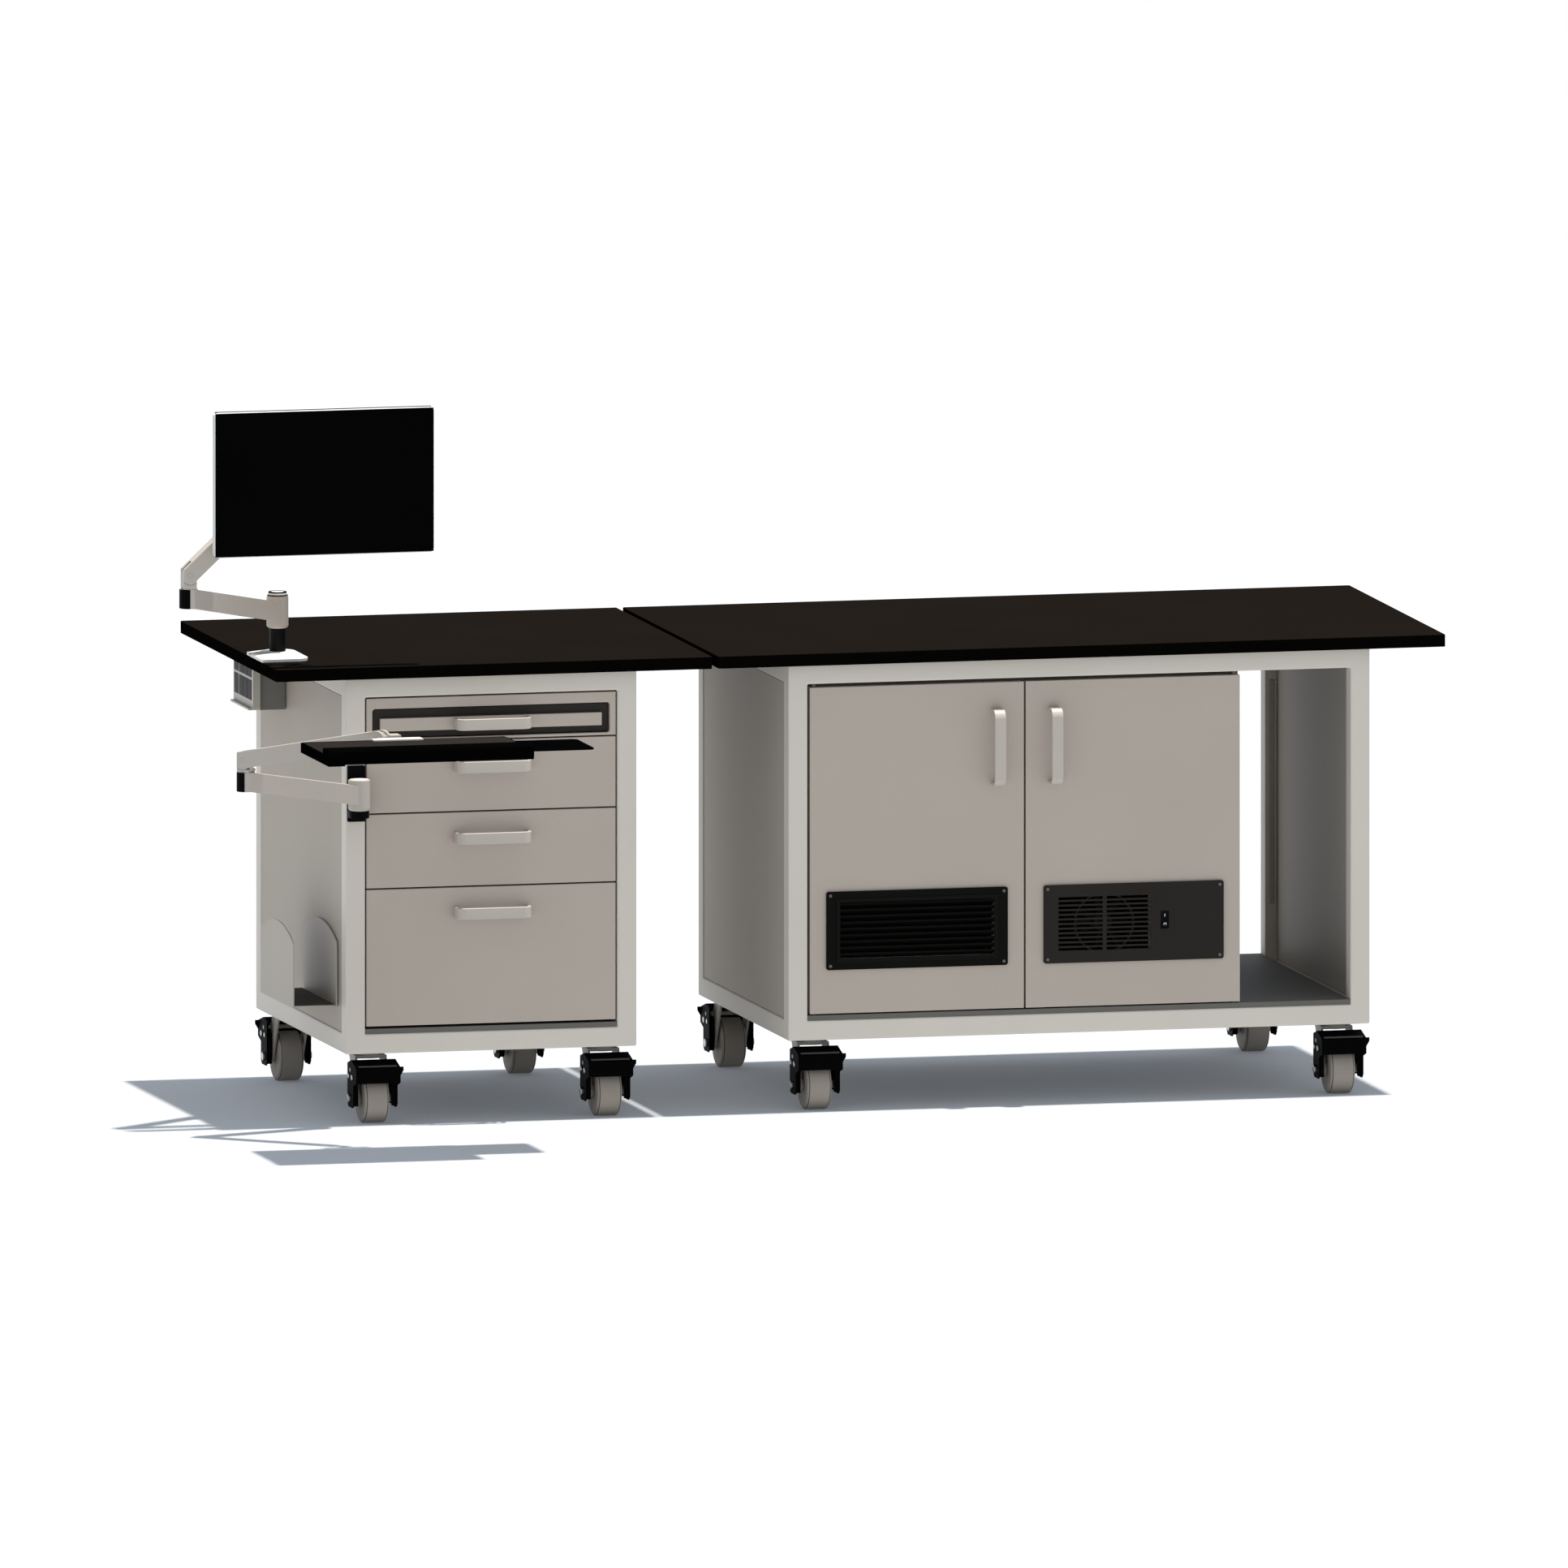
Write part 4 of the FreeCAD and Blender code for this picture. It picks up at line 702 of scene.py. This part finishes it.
# Screws in the corners of both panels
screw_inset = 8.0
screw_radius = 3.2
screw_sunk = 0.5
screw_proud = 1.2
screw_rim = 1.3
screw_dish = 0.5
screw_edge = 0.3
first_screw = at(vent_low.x + screw_inset, plate_face, vent_low.z + screw_inset)
screw = stud("panel_screw", first_screw, -Y_WAY, screw_sunk, screw_proud, screw_radius, sides=20)
ease(dished(screw, -Y_WAY, screw_rim, -screw_dish), screw_edge)
panel_height = vent_high.z - vent_low.z
panel_ends = {"left_door": (vent_low.x, vent_high.x), "right_door": (fan_low.x, fan_high.x)}
for door_node, (left_end, right_end) in panel_ends.items():
    corners = []
    for x in (left_end, right_end - 2 * screw_inset):
        for z in (0, panel_height - 2 * screw_inset):
            corners.append(copy_to(screw, "panel_screw_copy", shifted(x - vent_low.x, 0, z)))
    dress(merged(corners, door_node + "_screws"), door_node, screw_dull)
bpy.data.objects.remove(screw)

# Line and ring on the rocker
rocker_low, rocker_high = span("power_switch")
rocker_middle = (rocker_low + rocker_high) / 2
line_width = 1.4
line_from_middle = 6.0
line_length = 6.0
line_proud = 0.3
line_sunk = 0.4
line_rim = 0.3
line_rise = 0.1
ring_from_middle = 9.0
ring_radius = 3.2
ring_width = 1.2
ring_seat = 1.4
ring_sunk = 0.6
ring_proud = 0.5
mark_edge = 0.1
line_foot = rocker_middle.z + line_from_middle
on_low = at(rocker_middle.x - line_width / 2, plate_face - line_proud, line_foot)
on_high = at(rocker_middle.x + line_width / 2, plate_face + line_sunk, line_foot + line_length)
on_mark = dished(block("rocker_on_mark", on_low, on_high), -Y_WAY, line_rim, line_rise)
ease(on_mark, mark_edge, segments=1)
off_place = at(rocker_middle.x, plate_face - ring_seat, rocker_middle.z - ring_from_middle)
off_mark = stud("rocker_off_mark", off_place, -Y_WAY, ring_sunk, ring_proud, ring_radius, sides=24)
ease(pierced(off_mark, Y_WAY, ring_width), mark_edge, segments=1)
dress(merged([on_mark, off_mark], "rocker_marks"), "power_switch", mark_white)

# Outlet box: pale toward its sockets, with painted shade toward the bench, where it lies under the worktop
outlet_low, outlet_high = span("outlet_box")
outlet_rim = 8.0
outlet_front_depth = 15.5
outlet_edge = 0.8
socket_face = outlet_low.x + outlet_rim
outlet_coat_with_painted_shade = banded("outlet_coat_with_painted_shade", "X", at(socket_face + outlet_front_depth, 0, 0).x,
                     near=((176, 168, 157), (194, 187, 177)), far=((110, 107, 100), (126, 123, 116)),
                     roughness=0.46, gloss=0.35)
eased("outlet_box", "outlet_housing", outlet_coat_with_painted_shade, outlet_edge)

# Sockets in two rows of four, with a wider gap before the last column
socket_rows = 2
socket_columns = 4
socket_width = 34.0
socket_height = 41.0
socket_pitch_y = 36.0
socket_pitch_z = 46.0
last_column_gap = 4.0
socket_proud = 0.5
socket_sunk = 2.6
socket_rim = 3.0
socket_rise = 0.5
socket_edge = 0.4
socket_y = (outlet_low.y + outlet_high.y) / 2 - socket_pitch_y * (socket_columns - 1) / 2
socket_z = (outlet_low.z + outlet_high.z) / 2 - socket_pitch_z * (socket_rows - 1) / 2
socket_low = at(socket_face - socket_proud, socket_y - socket_width / 2, socket_z - socket_height / 2)
socket_high = at(socket_face + socket_sunk, socket_y + socket_width / 2, socket_z + socket_height / 2)
socket = dished(block("socket_insert", socket_low, socket_high), -X_WAY, socket_rim, socket_rise)
ease(socket, socket_edge)
sockets = []
for row in range(socket_rows):
    for column in range(socket_columns):
        gap = last_column_gap if column == socket_columns - 1 else 0
        move = shifted(0, column * socket_pitch_y + gap, row * socket_pitch_z)
        sockets.append(copy_to(socket, "socket_copy", move))
bpy.data.objects.remove(socket)
dress(merged(sockets, "outlet_sockets"), "benches", socket_dark)

# Lamp on the outlet box's front end
lamp_inset = 7.5
lamp_drop = 22.0
lamp_radius = 4.0
lamp_sunk = 0.6
lamp_proud = 1.2
lamp_rim = 1.0
lamp_dish = 0.4
lamp_edge = 0.3
lamp_place = at(socket_face + lamp_inset, outlet_low.y, outlet_high.z - lamp_drop)
lamp = stud("outlet_lamp", lamp_place, -Y_WAY, lamp_sunk, lamp_proud, lamp_radius, sides=24)
dress(ease(dished(lamp, -Y_WAY, lamp_rim, -lamp_dish), lamp_edge), "benches", socket_dark)

# Computer holder with a dark sheet on its floor as painted shade, and the keyboard arm's bracket
holder_edge = 0.8
bracket_edge = 0.6
shade_sheet_from_left = 5.0
shade_sheet_from_right = 8.0
shade_sheet_from_ends = 2.0
shade_sheet_foot = 2.9
shade_sheet_top = 4.6
shade_sheet_rim = 4.0
shade_sheet_rise = 0.4
shade_sheet_edge = 0.4
eased("cpu_holder", "computer_holder", holder_coat, holder_edge)
holder_low, holder_high = span("cpu_holder")
shade_sheet_low = at(holder_low.x + shade_sheet_from_left, holder_low.y + shade_sheet_from_ends, holder_low.z + shade_sheet_foot)
shade_sheet_high = at(holder_high.x - shade_sheet_from_right, holder_high.y - shade_sheet_from_ends, holder_low.z + shade_sheet_top)
holder_shade_sheet = dished(block("holder_shade_sheet", shade_sheet_low, shade_sheet_high), Z_WAY, shade_sheet_rim, shade_sheet_rise)
dress(ease(holder_shade_sheet, shade_sheet_edge), "benches", holder_shade_grey)
eased("keyboard_bracket", "keyboard_bracket_plate", joint_black, bracket_edge)

# Monitor mount: white plate, black post, and a grey floor in its groove as painted shade
mount_plate = 6.0
mount_edge = 0.6
post_start = 0.3
groove_x = (1.0, 46.0)
groove_y = (216.0, 246.0)
groove_foot = 3.2
groove_top = 2.0
groove_rim = 3.0
groove_dish = 0.4
groove_edge = 0.3
plate_top = span("left_worktop")[1].z + mount_plate
mount_coat = banded("mount_coat", "Z", at(0, 0, plate_top + post_start).z,
                    near=((214, 210, 203), (228, 225, 219)), far=((3, 3, 3), (8, 8, 8)),
                    roughness=0.44, gloss=0.1)
eased("monitor_mount", "mount_plate_and_post", mount_coat, mount_edge)
groove_low = at(groove_x[0], groove_y[0], plate_top - groove_foot)
groove_high = at(groove_x[1], groove_y[1], plate_top - groove_top)
groove_shade_floor = dished(block("mount_groove_floor", groove_low, groove_high), Z_WAY, groove_rim, -groove_dish)
dress(ease(groove_shade_floor, groove_edge), "benches", groove_painted_shade)

# Arms: the hub's place, the lower arm's length and turn in degrees, the cap's height and the pivot's finish
arms = {
    "monitor": {"hub": (63.0, 248.0, 1048.0), "length": 287.0, "turn": 218.0, "cap": 5.4,
                "pivot": joint_black},
    "keyboard": {"hub": (170.0, -5.5, 703.0), "length": 268.0, "turn": 198.5, "cap": 1.6,
                 "pivot": arm_grey},
}
end_cap_start = 12.5
end_cap_tilt_limit = 0.3
end_cap_wall = 1.2
end_cap_edge = 0.5
lower_edge = 3.0
elbow_edge = 0.5
upper_edge = 0.8
head_edge = 0.6
pivot_edge = 1.0
hub_sides = 40
hub_sunk = 1.0
hub_edge = 0.4
hub_cap_radius = 19.4
hub_cap_rim = 6.2
hub_groove_radius = 20.6
hub_groove_height = 2.5
hub_groove_rim = 3.0
hub_groove_rise = 0.2
hub_ring_radius = 18.6
hub_ring_width = 5.2
hub_ring_foot = 5.2
hub_ring_top = 8.6
hub_ring_edge = 0.3


def lower_arm(arm, place):
    """The lower arm with a black cap over its far end and a pale cap on its hub."""
    node = f"{arm}_lower_arm"
    turn = math.radians(place["turn"])
    way = Vector((math.cos(turn), math.sin(turn), 0))
    hub = at(*place["hub"])
    elbow = hub + way * place["length"] * MM

    def at_far_end(face):
        upright = abs(face.normal.z) < end_cap_tilt_limit
        return upright and (face.center - elbow).dot(way) > end_cap_start * MM

    casting = copied(node, f"{arm}_lower_casting")
    end_cap = tidy_mesh(cap_over(casting, f"{arm}_end_cap", at_far_end, end_cap_wall), weld_gap)
    dress(ease(end_cap, end_cap_edge), node, joint_black)
    dress(ease(casting, lower_edge, segments=3), node, arm_grey, node)
    cap = stud(f"{arm}_hub_cap", hub, Z_WAY, hub_sunk, place["cap"], hub_cap_radius, hub_sides)
    dress(ease(dished(cap, Z_WAY, hub_cap_rim, place["cap"] / 2), hub_edge), node, mount_white)


for arm, place in arms.items():
    lower_arm(arm, place)
    eased(f"{arm}_elbow", f"{arm}_elbow_casting", arm_grey, elbow_edge)
    eased(f"{arm}_upper_arm", f"{arm}_upper_casting", arm_grey, upper_edge)
    eased(f"{arm}_head", f"{arm}_head_casting", arm_grey, head_edge)
    eased(f"{arm}_pivot", f"{arm}_pivot_yoke", place["pivot"], pivot_edge)

# Black groove and ring on the monitor arm's hub
monitor_hub = at(*arms["monitor"]["hub"])
groove = stud("monitor_hub_groove", monitor_hub, Z_WAY, hub_sunk, hub_groove_height, hub_groove_radius,
              hub_sides)
ease(dished(groove, Z_WAY, hub_groove_rim, hub_groove_rise), hub_edge)
dress(groove, "monitor_lower_arm", joint_black)
ring = stud("monitor_hub_ring", monitor_hub, Z_WAY, -hub_ring_foot, hub_ring_top, hub_ring_radius,
            hub_sides)
ease(pierced(ring, Z_WAY, hub_ring_width), hub_ring_edge)
dress(ring, "monitor_lower_arm", joint_black)

# Display: pale case, dark glass, a dark strip along its top
case_edge = 1.2
glass_inset = 1.4
glass_foot = 1.6
glass_proud = 0.6
glass_sunk = 1.5
glass_rim = 7.0
glass_dish = 0.4
glass_edge = 0.4
strip_inset = 4.0
strip_y = (8.0, 19.0)
strip_sunk = 0.6
strip_proud = 0.5
strip_rim = 1.0
strip_rise = 0.2
strip_edge = 0.2
eased("monitor_display", "display_shell", case_pale, case_edge, segments=3)
screen_low, screen_high = span("monitor_display")
glass_low = at(screen_low.x + glass_inset, screen_low.y - glass_proud, screen_low.z + glass_foot)
glass_high = at(screen_high.x - glass_inset, screen_low.y + glass_sunk, screen_high.z - glass_inset)
glass = dished(block("display_front", glass_low, glass_high), -Y_WAY, glass_rim, -glass_dish)
dress(ease(glass, glass_edge), "monitor_display", display_glass)
strip_low = at(screen_low.x + strip_inset, screen_low.y + strip_y[0], screen_high.z - strip_sunk)
strip_high = at(screen_high.x - strip_inset, screen_low.y + strip_y[1], screen_high.z + strip_proud)
strip = dished(block("display_top_strip", strip_low, strip_high), Z_WAY, strip_rim, strip_rise)
dress(ease(strip, strip_edge), "monitor_display", case_dark)

# Rows of slots on the display's rear
case_depth = 20.0
slot_rows = 3
slot_columns = 4
slot_size = Vector((50.0, 1.1, 4.0))
slot_pitch_x = 56.0
slot_pitch_z = 9.0
slot_from_left = 120.0
slot_from_top = 30.0
slot_sunk = 0.5
slot_rim = 1.0
slot_dish = 0.4
slot_edge = 0.2
slot_y = screen_low.y + case_depth - slot_sunk
slot_low = at(screen_low.x + slot_from_left, slot_y, screen_high.z - slot_from_top)
first_slot = dished(block("rear_slot", slot_low, slot_low + slot_size * MM), Y_WAY, slot_rim, -slot_dish)
slots = []
for row in range(slot_rows):
    for column in range(slot_columns):
        move = shifted(column * slot_pitch_x, 0, -row * slot_pitch_z)
        slots.append(copy_to(first_slot, "rear_slot_copy", move))
bpy.data.objects.remove(first_slot)
dress(ease(merged(slots, "display_rear_slots"), slot_edge, segments=1), "monitor_display", case_dark)

# Trays, with a dark brown mat and a pale plate near the keyboard tray's rear edge
platform_edge = 1.5
mouse_edge = 0.8
tray_over_mouse = 8.4
tray_mat_from_left = 3.0
tray_mat_from_right = 4.0
tray_mat_y = (53.0, 236.0)
tray_mat_sunk = 0.4
tray_mat_proud = 1.0
tray_mat_rim = 4.0
tray_mat_rise = 0.3
tray_mat_edge = 0.4
lap_x = (144.0, 246.0)
lap_y = (208.0, 232.0)
lap_foot = 0.6
lap_top = 4.6
lap_rim = 5.0
lap_rise = 1.0
lap_edge = 0.8
eased("keyboard_tray", "keyboard_platform", palm_black, platform_edge, segments=3)
eased("mouse_tray", "mouse_platform", palm_black, mouse_edge)
tray_low, tray_high = span("keyboard_tray")
tray_face = span("mouse_tray")[1].z + tray_over_mouse
tray_mat_low = at(tray_low.x + tray_mat_from_left, tray_low.y + tray_mat_y[0], tray_face - tray_mat_sunk)
tray_mat_high = at(tray_high.x - tray_mat_from_right, tray_low.y + tray_mat_y[1], tray_face + tray_mat_proud)
tray_mat = dished(block("tray_mat", tray_mat_low, tray_mat_high), Z_WAY, tray_mat_rim, tray_mat_rise)
dress(ease(tray_mat, tray_mat_edge), "keyboard_tray", tray_top)
lap_low = at(tray_low.x + lap_x[0], tray_low.y + lap_y[0], tray_face + lap_foot)
lap_high = at(tray_low.x + lap_x[1], tray_low.y + lap_y[1], tray_face + lap_top)
lap = dished(block("tray_lap_plate", lap_low, lap_high), Z_WAY, lap_rim, lap_rise)
dress(ease(lap, lap_edge, segments=3), "keyboard_tray", mount_white)

# Casters: zinc forks, grey wheels, black covers; what they carry is made on the first caster and copied
caster_count = 8
fork_edge = 0.5
tyre_edge = 1.2
cover_edge = 1.0
cheek = 46.0
axle_z = 50.0


def axle_place(number):
    """The middle of a caster's wheel in plan."""
    wheel_low, wheel_high = span(f"caster_wheel_{number}")
    return (wheel_low.x + wheel_high.x) / 2, (wheel_low.y + wheel_high.y) / 2


caster_x, axle_y = axle_place(1)

# Nuts and rivets on both cheeks of the cover
fastener_sunk = 0.4
fastener_rise = 0.4
fastener_edge = 0.5
nut_radius = 9.0
nut_height = 5.0
rivet_z = 94.0
rivet_height = 2.4
front_rivet_y = -22.0
front_rivet_radius = 6.0
rear_rivet_y = 6.0
rear_rivet_radius = 5.0


def round_heads(name, y, z, radius, height, sides):
    """One head on each cheek, with y from the axle."""
    heads = []
    for way in (-X_WAY, X_WAY):
        seat = at(caster_x, axle_y + y, z) + way * cheek * MM
        head = stud(name, seat, way, fastener_sunk, height - fastener_sunk, radius, sides)
        heads.append(ease(dished(head, way, radius / 3, fastener_rise), fastener_edge))
    return heads


nuts_and_rivets = round_heads("axle_nut", 0, axle_z, nut_radius, nut_height, sides=6)
for y, radius in ((front_rivet_y, front_rivet_radius), (rear_rivet_y, rear_rivet_radius)):
    nuts_and_rivets += round_heads("cover_rivet", y, rivet_z, radius, rivet_height, sides=20)
fasteners = merged(nuts_and_rivets, "cover_fasteners")

# Ridge along the cover's front
ridge_half = 40.0
ridge_y = (-50.0, -46.0)
ridge_z = (113.0, 119.5)
ridge_rim = 1.2
ridge_rise = 0.8
ridge_edge = 0.4
ridge_low = at(caster_x - ridge_half, axle_y + ridge_y[0], ridge_z[0])
ridge_high = at(caster_x + ridge_half, axle_y + ridge_y[1], ridge_z[1])
ridge = ease(dished(block("cover_ridge", ridge_low, ridge_high), Z_WAY, ridge_rim, ridge_rise), ridge_edge)

# Liners inside the cheeks: front and back from the axle, foot and top from the floor
liner_plates = ((-28.0, 18.0, 62.0, 99.0), (-28.0, -19.0, 36.0, 63.0), (10.5, 18.0, 36.0, 63.0))
liner_inner = 34.5
liner_from_cheek = 2.5
liner_rim = 2.0
liner_dish = 0.6
liner_edge = 0.8
liners = []
for side in (-1, 1):
    inner_x, outer_x = sorted((caster_x + side * liner_inner, caster_x + side * (cheek - liner_from_cheek)))
    for front, back, foot, top in liner_plates:
        liner = block("cover_liner", at(inner_x, axle_y + front, foot), at(outer_x, axle_y + back, top))
        liners.append(ease(dished(liner, X_WAY * -side, liner_rim, -liner_dish), liner_edge))
cover_liners = merged(liners, "cover_liners")

# Dark lines round both sides of the tyre: painted shade of the grooves between tread and sides
tyre_line_from_middle = 20.4
tyre_line_height = 1.3
tyre_line_radius = 49.5
tyre_line_width = 2.5
tyre_line_edge = 0.2
lines = []
for way in (-X_WAY, X_WAY):
    seat = at(caster_x, axle_y, axle_z) + way * tyre_line_from_middle * MM
    line = stud("tyre_line", seat, way, 0, tyre_line_height, tyre_line_radius, sides=64)
    lines.append(ease(pierced(line, X_WAY, tyre_line_width), tyre_line_edge, segments=1))
tyre_groove_shade = merged(lines, "tyre_groove_shade")

# Ear at the cover's front right, narrowed upward at its tip
ear_sunk = 1.0
ear_reach = 7.0
ear_y = (-52.0, -49.0)
ear_z = (96.0, 117.0)
ear_tip_share = 0.35
ear_edge = 0.8
ear_low = at(caster_x + cheek - ear_sunk, axle_y + ear_y[0], ear_z[0])
ear_high = at(caster_x + cheek + ear_reach, axle_y + ear_y[1], ear_z[1])
ear = block("cover_ear", ear_low, ear_high)
edit_faces(ear, facing(X_WAY))
bpy.ops.transform.resize(value=(1, 1, ear_tip_share), center_override=ear_high)
done()
ease(ear, ear_edge)

# All casters; those at the rear, with even numbers, face backward
turn_round = Matrix.Rotation(math.pi, 4, "Z")
from_first = Matrix.Translation(-at(caster_x, axle_y, 0))
for number in range(1, caster_count + 1):
    fork = f"caster_fork_{number}"
    wheel = f"caster_wheel_{number}"
    pedal = f"caster_pedal_{number}"
    move = Matrix.Translation(at(*axle_place(number), 0)) @ from_first
    if number % 2 == 0:
        move = Matrix.Translation(at(*axle_place(number), 0)) @ turn_round @ from_first
    eased(fork, f"caster_legs_{number}", caster_zinc, fork_edge, segments=1)
    eased(wheel, f"caster_tyre_{number}", tread_grey, tyre_edge, segments=3)
    eased(pedal, f"caster_cover_{number}", pedal_black, cover_edge)
    dress(copy_to(fasteners, f"cover_fasteners_{number}", move), pedal, screw_zinc)
    dress(copy_to(ridge, f"cover_ridge_{number}", move), pedal, ridge_grey_and_groove_shade)
    dress(copy_to(ear, f"cover_ear_{number}", move), pedal, pedal_black)
    dress(copy_to(cover_liners, f"cover_liners_{number}", move), pedal, pedal_black)
    dress(copy_to(tyre_groove_shade, f"tyre_groove_shade_{number}", move), wheel, ridge_grey_and_groove_shade)
for first in (fasteners, ridge, ear, cover_liners, tyre_groove_shade):
    bpy.data.objects.remove(first)

# Floor, in metres
floor_size = 24.0
bpy.ops.object.select_all(action="DESELECT")
bpy.ops.mesh.primitive_plane_add(size=floor_size, location=(0.0, 0.0, 0.0))
floor = bpy.context.object
floor.name = "studio_floor"
floor.data.materials.append(studio_ground("studio_floor", (180, 183, 187), (185, 188, 191)))
floor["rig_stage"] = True

# Soft cool light from all round, before a white backdrop
sky_color = (0.82, 0.89, 1.0, 1.0)
sky_strength = 0.66
white = (1.0, 1.0, 1.0, 1.0)
world = bpy.data.worlds.new("studio")
bpy.context.scene.world = world
world.use_nodes = True
sky = world.node_tree
sky_light = sky.nodes["Background"]
sky_light.inputs["Color"].default_value = sky_color
sky_light.inputs["Strength"].default_value = sky_strength
backdrop = sky.nodes.new("ShaderNodeBackground")
backdrop.inputs["Color"].default_value = white
path = sky.nodes.new("ShaderNodeLightPath")
choice = sky.nodes.new("ShaderNodeMixShader")
sky.links.new(path.outputs["Is Camera Ray"], choice.inputs["Fac"])
sky.links.new(sky_light.outputs["Background"], choice.inputs[1])
sky.links.new(backdrop.outputs["Background"], choice.inputs[2])
sky.links.new(choice.outputs["Shader"], sky.nodes["World Output"].inputs["Surface"])

# Sun from nearly overhead
sun_way = Vector((-0.118, 0.025, -0.99))
sun = bpy.data.lights.new("overhead_sun", "SUN")
sun.energy = 5.0
sun.angle = math.radians(1.2)
sun.color = (1.0, 0.97, 0.92)
sun_object = bpy.data.objects.new("overhead_sun", sun)
sun_object.rotation_euler = sun_way.to_track_quat("-Z", "Y").to_euler()
bpy.context.scene.collection.objects.link(sun_object)

# Camera at the photograph's angle, with no perspective
image_pixels = 1932
pixels_per_mm = 0.6146
view_turn = math.radians(13.67)
view_drop = math.radians(7.18)
view_middle = at(1145.0, 400.0, 616.5)
view_distance = 8.0
view_limit = 60.0
view_way = Vector((math.sin(view_turn) * math.cos(view_drop), math.cos(view_turn) * math.cos(view_drop),
                   -math.sin(view_drop)))
lens = bpy.data.cameras.new("photo_camera")
lens.type = "ORTHO"
lens.ortho_scale = image_pixels / pixels_per_mm * MM
lens.clip_end = view_limit
camera = bpy.data.objects.new("photo_camera", lens)
camera.location = view_middle - view_way * view_distance
camera.rotation_euler = view_way.to_track_quat("-Z", "Y").to_euler()
bpy.context.scene.collection.objects.link(camera)
bpy.context.scene.camera = camera
bpy.context.scene.view_settings.view_transform = "Standard"

low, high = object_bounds()
